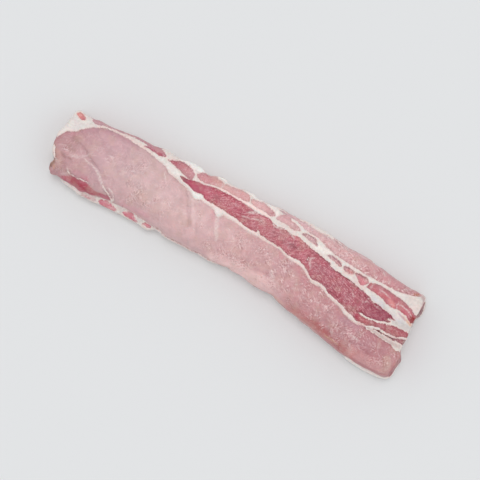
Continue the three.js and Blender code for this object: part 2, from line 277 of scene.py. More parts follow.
# Soft whitish veils of membrane and buried fat: (u, v, half-width), strength
VEILS = [
    ([(-35.6, 8, 2.6), (-33.6, 3, 2.0), (-31, -2, 2.0), (-28.4, -7, 1.9), (-26, -11.4, 1.5),
      (-24.6, -15, 0.8)], 0.46),
    ([(-180, -9.6, 0.5), (-174, -11.2, 0.7), (-168, -12.2, 0.9), (-163, -13.6, 1.2), (-158.6, -17, 1.3),
      (-154, -20.6, 1.4), (-149.6, -24.2, 1.2), (-145, -27, 0.7)], 0.55),
    ([(-193, -13.6, 1.2), (-188, -11.8, 1.5)], 0.4),
    ([(-165, -40.4, 0.6), (-158, -40.6, 0.9), (-153, -39.4, 0.6)], 0.5),
    ([(-141, -38.4, 0.2), (-135, -36.8, 0.5), (-129, -37.4, 0.3)], 0.4),
    ([(-160, -41.8, 0.3), (-154, -41, 0.4), (-148, -40.6, 0.3)], 0.8),
    ([(-131, -39.8, 0.2), (-128, -38.8, 0.5), (-126, -38, 0.6)], 0.5),
    ([(-106, -35.4, 0.3), (-103, -36.6, 0.7), (-100, -38, 0.6)], 0.6),
    ([(-94.4, -36.6, 0.3), (-92, -36.8, 0.5), (-90, -36.4, 0.3)], 0.42),
    ([(-150.5, -37.6, 0.1), (-146, -36.8, 0.15), (-142.5, -36.2, 0.1)], 0.7),
    ([(-149.5, -36.2, 0.1), (-145.4, -35.4, 0.1)], 0.55),
    ([(-117, -36.4, 0.3), (-114, -34.6, 0.5)], 0.6),
    ([(-107.6, -35.6, 0.5), (-105.6, -37.4, 0.5)], 0.55),
    ([(-53, 34.4, 0.4), (-51.4, 33.2, 0.5)], 0.5),
    ([(45, 46, 1.2), (54, 46.6, 1.6), (64, 46.4, 1.6), (73, 45.8, 1.2)], 0.55),
    ([(74, 46, 0.6), (78, 44.4, 1.0), (79, 43, 0.5)], 0.5),
    ([(88, 45, 0.6), (93, 44, 1.1), (96, 43, 0.5)], 0.5),
    ([(106, 45, 0.6), (114, 45, 0.9), (118, 44.6, 0.5)], 0.4),
    ([(66, 41.6, 0.3), (69, 43.6, 0.5), (72, 45.6, 0.3)], 0.5),
    ([(80, 38, 0.4), (88, 41, 0.5), (94, 43, 0.3)], 0.3),
    ([(-188, -13, 1.0), (-183.6, -10.8, 1.3), (-180.4, -7.6, 0.9), (-177, -3, 0.6)], 0.36),
    ([(-143.4, -22.6, 0.3), (-139.6, -24.8, 0.7), (-136, -27.2, 0.6)], 0.75),
    ([(-189.4, -25.4, 0.6), (-187.6, -28.6, 0.7)], 0.5),
    ([(-191.6, -34.6, 0.5), (-189, -32.4, 0.6), (-186.8, -30.6, 0.6)], 0.45),
    ([(-14.4, 19.7, 0.4), (-10, 20.5, 0.55), (-5, 22, 0.6), (0, 23.7, 0.6), (5, 25.6, 0.5),
      (7, 26.2, 0.3)], 0.62),
    ([(-11.6, 25, 0.3), (-8.4, 27, 0.9), (-5, 28.8, 1.4), (-2.4, 30.4, 1.6)], 0.66),
    ([(15.6, 30.2, 0.9), (17.4, 28.2, 1.0), (18.8, 26.2, 0.5), (19.6, 25, 0.1)], 0.8),
    ([(18.4, 28, 1.0), (22, 27.6, 1.3), (25.4, 28.4, 1.2), (29, 29.4, 0.6)], 0.62),
    ([(33, 29.8, 0.7), (37, 28.9, 1.1), (40, 27.2, 0.9), (42.4, 25.8, 0.3)], 0.72),
    ([(69.4, 20, 0.5), (67.2, 17, 1.1), (67.6, 13.6, 1.1), (70, 10.6, 0.8), (71, 8, 0.4)], 0.5),
    ([(-45, 40, 0.6), (-45.6, 37, 0.35), (-46, 34.6, 0.4), (-46.4, 32.8, 0.7)], 0.62),
    ([(-103.4, 19.4, 0.3), (-101, 16.4, 0.6), (-98.4, 13, 0.3)], 0.45),
    ([(-72, 13.6, 1.2), (-66, 9.6, 1.2), (-61, 9.6, 1.0), (-55, 11, 1.0)], 0.35),
    ([(-2, 8.6, 1.0), (3, 8.6, 1.2), (8, 9.2, 0.9)], 0.4),
    ([(134.6, 26, 0.3), (133.6, 23.6, 0.5), (133, 21, 0.3)], 0.5),
    ([(142, 25.5, 0.1), (147, 24.7, 0.3), (151, 24, 0.3), (155.6, 23.1, 0.1)], 0.9),
    ([(166, 21.9, 0.1), (171, 21.6, 0.4), (176, 20.7, 0.45), (180, 19.4, 0.35), (183.4, 17.6, 0.1)], 0.85),
    ([(165.2, 22.6, 0.1), (164.6, 20.4, 0.4), (165.2, 18.4, 0.4), (166.4, 16.4, 0.3)], 0.8),
    ([(157.6, 16.4, 0.3), (160, 18, 0.5), (162.4, 18.8, 0.2)], 0.4),
    ([(39, -14.4, 1.5), (42.6, -17.4, 2.2), (44.6, -21, 1.2)], 0.3),
    ([(137, -29.2, 1.2), (142.6, -29.6, 1.6), (148, -29.4, 0.8)], 0.35),
    ([(121, -35, 0.8), (123, -37, 1.2), (124, -39.4, 0.6)], 0.36),
    ([(76, -39.6, 0.6), (86, -41.2, 1.0), (96, -43, 1.0), (106, -44.8, 0.9), (112, -45.8, 0.5)], 0.22),
    ([(185, -30, 1.5), (187.6, -36, 2.2), (187, -42, 1.2)], 0.22),
    ([(119, 9, 0.3), (121, 7, 0.6), (123.4, 5.4, 0.3)], 0.5),
    ([(132.6, 5.4, 0.3), (135.4, 6.4, 0.5), (136.2, 8.4, 0.3)], 0.45),
    ([(145.6, 8.6, 0.3), (149, 8.6, 0.5), (152.4, 7.8, 0.3)], 0.5),
    ([(136, 11.4, 0.4), (138, 12.6, 0.9), (141, 12.4, 0.7)], 0.8),
    ([(-206, -24.8, 1.4), (-202, -25, 1.4), (-198, -26, 0.8)], 0.3),
    # streak in the pink strip under the chain muscle
    ([(157, -8, 0.05), (163, -6.4, 0.1), (169, -4.7, 0.12), (175, -3, 0.1), (181, -1.9, 0.05)], 0.3),
    # strokes in the outer band
    ([(124.6, 41.4, 0.3), (127, 39.4, 0.7), (129.4, 37.2, 0.3)], 0.5),
    ([(137.2, 41.8, 0.4), (139, 40, 0.7), (140.6, 39.2, 0.3)], 0.6),
    ([(141, 34, 0.3), (143.4, 35.3, 0.5), (145.6, 36.6, 0.3)], 0.45),
    ([(146.6, 38.2, 0.3), (147.4, 35.8, 0.5), (147.8, 33.4, 0.2)], 0.5),
    ([(155, 36.6, 0.3), (157, 35.4, 0.5), (158.8, 34.4, 0.3)], 0.42),
    ([(162.6, 37, 0.3), (166, 39, 0.6), (169.4, 41, 0.4)], 0.6),
    ([(100, 42.4, 0.3), (103, 40.6, 0.5), (105, 38.6, 0.3)], 0.4),
    ([(112, 40.6, 0.3), (115, 38.6, 0.6), (116.4, 36.4, 0.3)], 0.4),
    # fringe along the chine edge
    ([(-73, 37, 0.4), (-66, 39.2, 0.5), (-60, 40.2, 0.4), (-54, 41.8, 0.7), (-46, 41.8, 0.7), (-40, 40.8, 0.3),
      (-33, 41.6, 0.4), (-26, 43.2, 0.6), (-19, 43.4, 0.7), (-10, 42.4, 0.5), (-3, 42.8, 0.7), (4, 43, 0.6),
      (12, 44.4, 0.7), (18, 45, 0.5)], 0.62),
    ([(-112, 38.6, 0.6), (-104, 38, 0.5), (-97, 36.8, 0.3)], 0.6),
    ([(92, 45.4, 0.3), (104, 45.4, 0.5), (118, 45.4, 0.5), (130, 44.2, 0.3)], 0.5),
]
# Where the eye's fibres are torn most: (u, v, radius)
TORN = [
    (-157, 3, 4), (-134, 5, 5), (-124, 13, 5), (-116, -11, 7), (-119, -21, 6), (-104, -18, 5), (-99, 7, 4),
    (-83, -7, 4), (-83, -19, 3), (-97, -10, 4), (-128, -7, 4), (-4, 0, 7), (-1, -7, 4), (19, 1, 5), (31, -6, 6),
    (46, -2, 7), (17, -18, 5), (40, -15, 5), (-15, -29, 5), (-29, -23, 5), (-11, -23, 7), (4, -31, 5), (-44, -10, 3),
    (-52, 0, 3), (60, -22, 4), (31, -24, 4), (53, -15, 4), (57, -6, 5), (77, -7, 8), (94, -7, 5), (88, -21, 5),
    (124, -28, 5.5), (138, -29, 7), (149, -24, 7), (124, -37, 3), (143, -40, 4), (181, -37, 7), (167, -30, 4),
    (153, -34, 4), (67, -30, 3), (106, -15, 5), (188, -26, 4), (104, -28, 4), (170, -42, 4), (120, -41, 4), (111, -37, 4),
    (131, -42, 5), (98, -33, 4), (-2, -24, 6), (10, -22, 6), (24, -14, 4), (46, -24, 4), (-198, -31, 4), (-200, -10, 4),
]
# Painted highlights: small bright strokes where the wet torn fibre catches the light: (u, v) of both ends
GLINTS = [
    ((-53, -0.4), (-51, -1.8)), ((-46, -7), (-44, -9)), ((-84, -6), (-80.4, -9)), ((-83, -20.6), (-81, -19.4)),
    ((-51, -15.4), (-49, -16.6)), ((39, -12), (41, -14)), ((59, -22.8), (61.4, -22)), ((94.4, -17.6), (96.6, -16.4)),
    ((-128, -10.4), (-126, -11.6)), ((-131.6, 3), (-129, 4.4)), ((-101.6, 17), (-99.4, 13.6)), ((-160.4, 0.4), (-158.6, 2)),
    ((-9, -6), (-7.4, -8.4)), ((-3, -3.4), (-0.4, -2.6)), ((26, 0.4), (28.6, -0.6)), ((14, -17.4), (17.4, -20.4)),
    ((113, -24), (115, -22.8)), ((141.4, -27.4), (144, -29.4)), ((152.4, -36), (154.6, -37)), ((170, -37), (173, -38.6)),
    ((77, -21.6), (79.4, -23.4)), ((120.4, -36.4), (122.4, -38.4)), ((66, -13.4), (68, -11.8)), ((-20, 2.4), (-18, 1)),
]
# Creases and wrinkles: (u, v, half-width), depth in mm, how much painted shade darkens them
CREASES = [
    ([(-74, 13, 1.0), (-70, 8.4, 1.5), (-66.6, 3.4, 1.6), (-63.4, -1.6, 1.6), (-60.4, -6, 1.6),
      (-57, -11, 1.7), (-54.6, -15.4, 1.3)], 0.9, 0.10),
    ([(-70.6, 11, 0.5), (-67, 7.4, 0.6), (-64, 2.6, 0.5), (-61, -3, 0.5), (-58, -8, 0.3)], 0.6, 0.17),
    ([(-50.4, -9.6, 0.5), (-48, -13.4, 0.8), (-45.6, -18, 0.5)], 0.6, 0.09),
    ([(-191, 2, 0.5), (-185, -0.3, 0.8), (-179, -3.2, 0.9), (-173.4, -7.2, 1.0), (-168, -9.5, 0.9),
      (-162.4, -11.4, 0.7), (-159, -13, 0.4)], 0.8, 0.14),
    ([(-18.6, -9.4, 0.4), (-16.6, -12.4, 0.7), (-14.4, -15, 0.4)], 0.4, 0.08),
    ([(7, -9, 0.4), (11, -15, 0.8), (15.4, -21.6, 0.5)], 0.4, 0.05),
    ([(66, -27.4, 0.4), (72, -32.6, 0.9), (80, -38, 0.6)], 0.5, 0.07),
    ([(99, -35.6, 0.4), (105, -32.6, 0.9), (111.6, -28.8, 0.5)], 0.6, 0.09),
    ([(150, -33.4, 0.4), (158, -31.4, 0.8), (168, -29.4, 0.5)], 0.4, 0.06),
    ([(127, -19, 0.4), (131, -24, 0.7), (133.6, -30, 0.4)], 0.35, 0.06),
    ([(39, 20.4, 0.7), (44, 18.8, 1.0), (49, 19.6, 0.8)], 0.3, 0.2),
    ([(165.4, -48.6, 0.5), (175, -48.4, 0.9), (186, -47.4, 0.6)], 0.3, 0.12),
    ([(-50, -36.2, 0.3), (-48, -31, 0.9), (-50.6, -27, 0.4)], 0.3, 0.05),
]


def rgb(red, green, blue):
    """A display colour, as the linear numbers that shading works with."""
    c = np.array([red, green, blue]) / 255.0
    return np.where(c <= 0.04045, c / 12.92, ((c + 0.055) / 1.055) ** 2.4)


# Colours of the eye along its length, and of the other tissues.
EYE_COLOURS = [
    (-212, rgb(190, 147, 149)), (-192, rgb(195, 154, 156)), (-160, rgb(203, 166.5, 170)),
    (-110, rgb(212, 180, 180)), (-60, rgb(219, 184, 184)), (0, rgb(214, 173, 173)),
    (45, rgb(206, 161, 163)), (90, rgb(200, 150, 152)), (125, rgb(194, 145, 148)),
    (160, rgb(187, 132, 137.5)), (192, rgb(192, 141, 142)),
]
CHAIN_COLOURS = [
    (-88, rgb(189, 101, 118)), (-62, rgb(194, 106, 123)), (-40, rgb(194, 108, 121)),
    (10, rgb(194, 122, 130)), (50, rgb(195, 119, 129)), (90, rgb(182, 110, 121)),
    (125, rgb(184, 106, 118)), (150, rgb(166, 91, 106)), (170, rgb(162, 84, 101)),
]
STRIP_COLOUR = rgb(182, 113, 120)
LILAC, MAUVE, BROWN = rgb(205, 165, 172), rgb(187, 140, 150), rgb(176, 136, 130)
PALE_PINK, SALMON, TAN = rgb(226, 196, 195), rgb(204, 146, 138), rgb(199, 160, 148)
ROSE, RED, DEEP_RED, MAROON = rgb(205, 143, 150), rgb(190, 100, 110), rgb(158, 76, 86), rgb(128, 60, 68)
ORANGE = rgb(218, 150, 134)
FAT_WHITE, FAT_CREAM = rgb(234, 228, 221), rgb(233, 219, 206)
FAT_COOL, FAT_PINK = rgb(211, 204, 200), rgb(240, 218, 213)
PATCH_COLOURS = {  # first end, far end
    "spot": (rgb(232, 147, 141), rgb(210, 121, 129)), "strip": (rgb(206, 160, 167), rgb(194, 134, 144)),
    "1": (rgb(188, 112, 122), rgb(201, 143, 148)), "2": (rgb(214, 151, 155), rgb(219, 165, 165)),
    "3": (rgb(230, 183, 181), rgb(225, 171, 172)), "4": (rgb(229, 185, 184), rgb(222, 170, 172)),
    "5": (rgb(217, 171, 173), rgb(216, 173, 174)), "6": (rgb(210, 166, 168), rgb(210, 163, 166)),
    "7": (rgb(200, 152, 158), rgb(206, 146, 148)), "8": (rgb(198, 134, 142), rgb(202, 140, 145)),
    "9": (rgb(210, 135, 144), rgb(211, 137, 145)), "10": (rgb(194, 118, 126), rgb(191, 102, 113)),
    "band": (rgb(225, 188, 190), rgb(203, 145, 149)),
}
# Washes of colour on the meat: shape, softness in units, strength, colour, and for some the two u
# between which it comes in. A shape is a closed line unless its points carry a half-width.
WASHES = [
    # chump end of the eye
    ([(-198, -6, 2.0), (-195.6, -8, 2.2), (-192.8, -8, 1.4)], 1.8, 0.62, rgb(172, 132, 128)),
    ([(-202, -15.4, 1.0), (-198, -17.4, 1.4), (-194, -17.2, 1.1), (-191, -16.8, 0.8)], 1.3, 0.66, rgb(160, 120, 118)),
    ([(-199.6, 6, 1.6), (-196.4, 3, 2.2), (-193.6, 0.6, 1.4)], 1.7, 0.6, rgb(174, 132, 130)),
    ([(-212, -4, 1.6), (-211.4, -9, 1.8)], 2, 0.55, rgb(186, 132, 140)),
    ([(-208.6, 3, 2.0), (-203, 5.4, 2.0), (-199, 7.6, 1.4)], 2.2, 0.5, rgb(205, 150, 158)),
    ([(-204, -25.6, 0.8), (-204.6, -28.6, 1.2), (-205, -31, 1.2), (-204.4, -33, 0.8)], 1.2, 0.9, rgb(146, 112, 94)),
    ([(-201.6, -30.2, 1.0), (-201, -32.6, 0.9)], 1.3, 0.62, rgb(206, 156, 132)),
    ([(-204, -37.6, 1.6), (-198, -37.4, 1.6), (-193, -35, 1.6)], 2, 0.5, rgb(196, 138, 146)),
    ([(-208, -17, 2.4), (-204, -21, 3), (-199, -23.6, 3)], 3, 0.5, TAN),
    # darker mauve edge of the eye along the fat seam
    ([(-200, 8.6, 1.2), (-192, 15.6, 1.8), (-184, 21, 2.0), (-175, 25, 2.0), (-164, 26.6, 1.8),
      (-150, 26.8, 1.6), (-138, 26, 1.4)], 2.4, 0.55, MAUVE),
    ([(-183, 12, 7), (-168, 17, 8), (-150, 18, 7)], 7, 0.4, LILAC),
    # pale ridge right of the long wrinkle, pink by the wedge
    ([(-66, 9, 1.2), (-61, 2, 1.8), (-57, -4, 1.8), (-53, -9, 1.4)], 2.2, 0.75, rgb(228, 198, 196)),
    ([(-58, -12, 2), (-56, -15, 2)], 2.6, 0.4, rgb(196, 158, 150)),
    ([(-41.6, 8.4, 1.2), (-38.6, 5.6, 1.8), (-37, 2, 1.0)], 2, 0.5, rgb(224, 168, 172)),
    ([(-74, -4, 7), (-70, -16, 8)], 6, 0.3, rgb(210, 178, 174)),
    ([(-112, -14, 5), (-108, -18, 4)], 4, 0.4, rgb(203, 168, 160)),
    ([(-124, -30, 3), (-112, -30, 3), (-98, -30, 4)], 4, 0.42, rgb(229, 163, 176)),
    ([(-130, -14, 6), (-118, -20, 6)], 6, 0.3, rgb(205, 170, 168)),
    # seam side and belly side of the rib half
    ([(36, 6, 1.2), (40, 4.4, 1.6), (43, 2, 1.0)], 2, 0.45, rgb(220, 152, 160)),
    ([(60, 2.6, 1.6), (68, -2.4, 2.2), (74, -6, 2), (80, -8, 1.6)], 3, 0.45, rgb(207, 140, 147)),
    ([(84, -6, 1.6), (94, -7.4, 1.6), (100, -11, 1.4), (110, -13, 1.2), (122, -17, 1.0)], 2.4, 0.42, rgb(205, 140, 147)),
    ([(122, -19, 1.6), (132, -20, 2.2), (142, -19, 2.2)], 3.4, 0.5, rgb(184, 138, 150)),
    ([(152, -18.4, 1.2), (162, -20, 1.6), (172, -19.6, 1.4)], 2.6, 0.4, rgb(198, 136, 142)),
    ([(52, -33, 3), (64, -35, 3.6), (78, -37.4, 4), (90, -38.6, 4.6), (106, -41, 5.2), (122, -44, 5.6),
      (138, -46.6, 5), (152, -48, 4)], 4.6, 0.7, rgb(193, 110, 108), 50, 94),
    ([(104, -39, 2.4), (116, -41.6, 3.4), (126, -43.6, 3), (134, -45.4, 2)], 4.6, 0.66, rgb(174, 83, 86)),
    ([(66, -33, 1.0), (77, -36, 1.8), (86, -38.6, 1.8)], 2.4, 0.5, SALMON, 60, 80),
    ([(104, -40, 2), (116, -43, 2.4), (126, -45, 2)], 3, 0.4, SALMON),
    ([(148, -42, 4), (166, -43.6, 4), (182, -42.4, 4), (191, -41, 2)], 4, 0.6, rgb(224, 168, 166)),
    ([(183, -32, 3), (186, -38, 3.4), (185, -43, 2.4)], 3, 0.58, TAN),
    ([(112, -22, 5), (120, -30, 6), (128, -36, 5)], 6, 0.3, rgb(186, 136, 138)),
    ([(-20, -32, 4), (4, -29, 5), (30, -28.6, 6), (48, -28, 6), (62, -30.6, 5), (78, -34, 5)], 5, 0.8, rgb(247, 211, 208), 76, 32),
    ([(50, -33.4, 1.2), (58, -35, 1.6), (66, -37, 1.4)], 1.8, 0.55, rgb(236, 188, 175)),
    ([(60, -36.6, 0.2), (73, -39.7, 0.2), (90, -42.2, 0.3), (108, -44.9, 0.3), (126, -47.9, 0.2),
      (142, -49.8, 0.1)], 0.7, 0.4, rgb(218, 180, 184), 60, 84),
    ([(118, -42.2, 0.6), (126, -43, 0.8), (133, -44, 0.5)], 1.0, 0.65, rgb(206, 164, 134)),
    ([(150, -48.2, 0.5), (165, -48.8, 0.7), (180, -48, 0.6), (191, -46, 0.5)], 0.9, 0.6, rgb(184, 110, 114)),
    # dark patch low in the chump half
    ([(-190.4, -36.6), (-187, -34), (-183, -32), (-178, -31.2), (-173.6, -30.8), (-171, -30),
      (-168.4, -29.2), (-165.6, -29.8), (-163, -30.8), (-158, -32), (-152, -32.6), (-145, -31.4),
      (-139, -30.6), (-135.4, -32), (-137, -33.8), (-143, -35), (-149, -36), (-153, -38),
      (-160, -38.8), (-168, -40.4), (-176, -40), (-184, -38.6)], 1.1, 0.86, rgb(186, 94, 109)),
    ([(-171, -27.6, 1.2), (-168.6, -25.8, 1.3), (-166, -27.6, 1.2)], 2.0, 0.72, rgb(205, 134, 146)),
    ([(-181, -35, 1.2), (-173, -35, 2.2), (-166, -35.2, 2.8), (-159, -35.8, 2.2), (-154, -36.4, 1.0)], 2.4, 0.7, rgb(168, 54, 74)),
    ([(-157, -35.8, 1.0), (-153, -35.4, 1.7), (-148.6, -34.4, 1.0)], 1.4, 0.8, rgb(178, 80, 95)),
    ([(-146, -33.2, 1.0), (-140, -32.3, 1.1), (-136.4, -32.2, 0.6)], 1.2, 0.7, rgb(187, 110, 125)),
    ([(-188, -37, 1.0), (-182, -36.8, 1.4)], 1.6, 0.7, rgb(191, 107, 122)),
    ([(-183, -25.6, 2), (-178, -26, 2.4), (-174, -24.6, 1.6)], 2.6, 0.5, rgb(203, 152, 161)),
    # chain muscle
    ([(-86, 22.8, 1.2), (-82, 22.4, 1.4), (-79, 22.4, 1.0)], 1.4, 0.8, rgb(160, 104, 112)),
    ([(-76, 21.6, 2.2), (-70, 21.6, 3.2), (-65, 21.6, 2.4)], 2.4, 0.8, rgb(187, 98, 116)),
    ([(-60, 26.6, 1.6), (-50, 29.4, 1.6), (-40, 29.6, 1.8), (-28, 30, 1.8), (-16, 29.6, 1.6)], 2, 0.55, rgb(193, 106, 120)),
    ([(-26, 21, 1.6), (-20, 21.6, 2), (-13.6, 23.4, 1.4)], 1.8, 0.6, rgb(190, 98, 116)),
    ([(0, 27.6, 1.6), (5, 28.8, 2), (10, 28.8, 1.4)], 1.8, 0.7, rgb(203, 127, 138)),
    ([(42, 28.6, 1.0), (47, 28.2, 1.6), (53, 26.6, 1.0)], 1.6, 0.9, rgb(211, 142, 147)),
    ([(36, 19, 2), (43, 18.6, 2.6), (50, 20, 2)], 2.6, 0.55, rgb(160, 92, 104)),
    ([(20, 21, 3), (28, 22, 3.4)], 3, 0.4, rgb(184, 132, 138)),
    ([(76, 20, 2), (90, 16, 2.6), (104, 14, 2.6)], 2.6, 0.45, rgb(196, 120, 132)),
    ([(97, 8, 2), (101, 13, 2)], 3, 0.4, rgb(202, 122, 124)),
    ([(112, 6, 3), (128, 2, 3), (140, 0, 2.4)], 3, 0.35, rgb(172, 100, 112)),
    ([(134, -9, 2), (141, -10, 2.2), (148, -9, 1.6)], 1.6, 0.9, rgb(182, 74, 95)),
    ([(-46, 23, 2), (-40, 24, 2.6), (-33, 24.6, 2)], 2.4, 0.42, rgb(186, 132, 137)),
    ([(68, 25.2, 0.35), (76, 24, 0.35), (84, 22.7, 0.35), (87, 20.8, 0.3), (95, 19, 0.35), (104, 18.4, 0.35),
      (112, 17.8, 0.35), (120, 16.5, 0.35), (128, 15.2, 0.3)], 0.8, 0.75, rgb(134, 84, 90)),
    ([(164, -5.4, 1.0), (174, -4.4, 1.2), (183, -2.2, 1.0)], 1.3, 0.62, rgb(169, 83, 93)),
    # patches
    ([(-106, 30.8, 1.2), (-102, 31.6, 1.6), (-98, 32, 1.6)], 2, 0.75, rgb(184, 88, 104)),
    ([(-67, 38.4, 0.8), (-64, 38, 0.9), (-61, 38.4, 0.6)], 1.2, 0.7, rgb(190, 104, 118)),
    ([(-132, 31.6, 0.8), (-127, 32.4, 0.9), (-121.6, 32.4, 1.0)], 0.9, 0.85, rgb(190, 105, 124)),
    ([(-118.6, 32, 1.0), (-115, 31.8, 1.0), (-113.4, 31.4, 0.6)], 0.9, 0.9, rgb(187, 84, 106)),
    ([(-128, 34.6, 0.8), (-120, 35.2, 1.0), (-113, 34.2, 0.8)], 1.2, 0.6, rgb(196, 136, 146)),
    ([(-92, 27.8, 0.7), (-82, 27, 0.7), (-77, 28, 0.7)], 1.2, 0.5, rgb(188, 122, 134)),
    ([(8, 36, 1.6), (12, 37, 1.6)], 1.8, 0.4, rgb(204, 150, 154)),
    ([(134, 27.4, 0.7), (144, 28.2, 0.8), (156, 27.6, 0.8), (168, 25.8, 0.8), (178, 23.4, 0.8),
      (186, 19.8, 0.7)], 1, 0.62, rgb(186, 132, 136)),
    ([(139, 22, 1.4), (146, 21.6, 1.6), (152, 21.4, 1.2)], 1.4, 0.75, rgb(203, 110, 116)),
    ([(156, 20.6, 1.4), (160, 19, 1.8), (162, 17, 1.2)], 1.8, 0.85, rgb(226, 145, 141)),
    ([(166, 18.6, 1.0), (172, 18.8, 1.4), (178, 17.4, 1.0)], 1.2, 0.75, rgb(199, 106, 118)),
    ([(182.8, 17.2, 1.0), (185.2, 15.2, 2.2), (187, 12.6, 1.9)], 1.5, 1.0, rgb(149, 0, 14)),
    ([(113.6, 26.7, 0.5), (116, 27.4, 0.6), (121, 28, 0.6), (126.6, 27.7, 0.5)], 0.8, 0.85, rgb(152, 104, 106)),
    ([(80, 28.4, 0.4), (83, 29.2, 0.45), (88, 29.6, 0.5), (93, 28.7, 0.45), (96.4, 27, 0.3)], 0.8, 0.9, rgb(156, 114, 124)),
    ([(83, 28, 0.3), (90, 27.2, 0.4), (95, 26.2, 0.3)], 0.7, 0.5, rgb(226, 186, 186)),
    ([(100.4, 26.6, 0.4), (103, 27.9, 0.5), (107, 28, 0.5), (111.6, 26.8, 0.4)], 0.8, 0.8, rgb(164, 110, 114)),
    ([(104, 25.6, 0.8), (109, 25.4, 0.8)], 1.2, 0.6, rgb(212, 132, 128)),
    ([(122, 24.6, 1.0), (125, 22.6, 1.0)], 1.4, 0.6, rgb(218, 128, 138)),
    ([(48, 35.2, 0.5), (55, 36.7, 0.6), (62, 35.6, 0.5), (65, 32.6, 0.5)], 0.8, 0.85, rgb(172, 130, 132)),
    ([(73.4, 37.2, 0.8), (76, 36, 0.8)], 1.2, 0.6, rgb(190, 148, 142)),
    ([(82, 39, 4), (95, 39, 4), (108, 39, 3)], 3.6, 0.5, rgb(222, 179, 177)),
    ([(100, 34, 1.4), (120, 32.8, 1.2), (140, 33, 1.4), (156, 33.6, 1.2)], 1.6, 0.5, rgb(205, 146, 150)),
    ([(160, 37, 2), (170, 38.6, 2)], 2.4, 0.45, rgb(196, 142, 144)),
    ([(175, 38.6, 1.0), (178.4, 39.4, 1.1)], 1, 1.0, rgb(190, 112, 88)),
    ([(24, 44, 1.4), (30, 44.6, 1.4)], 1.6, 0.5, rgb(226, 178, 184)),
    ([(14, 43.6, 0.8), (20, 43.8, 0.9)], 1.0, 0.8, rgb(208, 174, 182)),
]
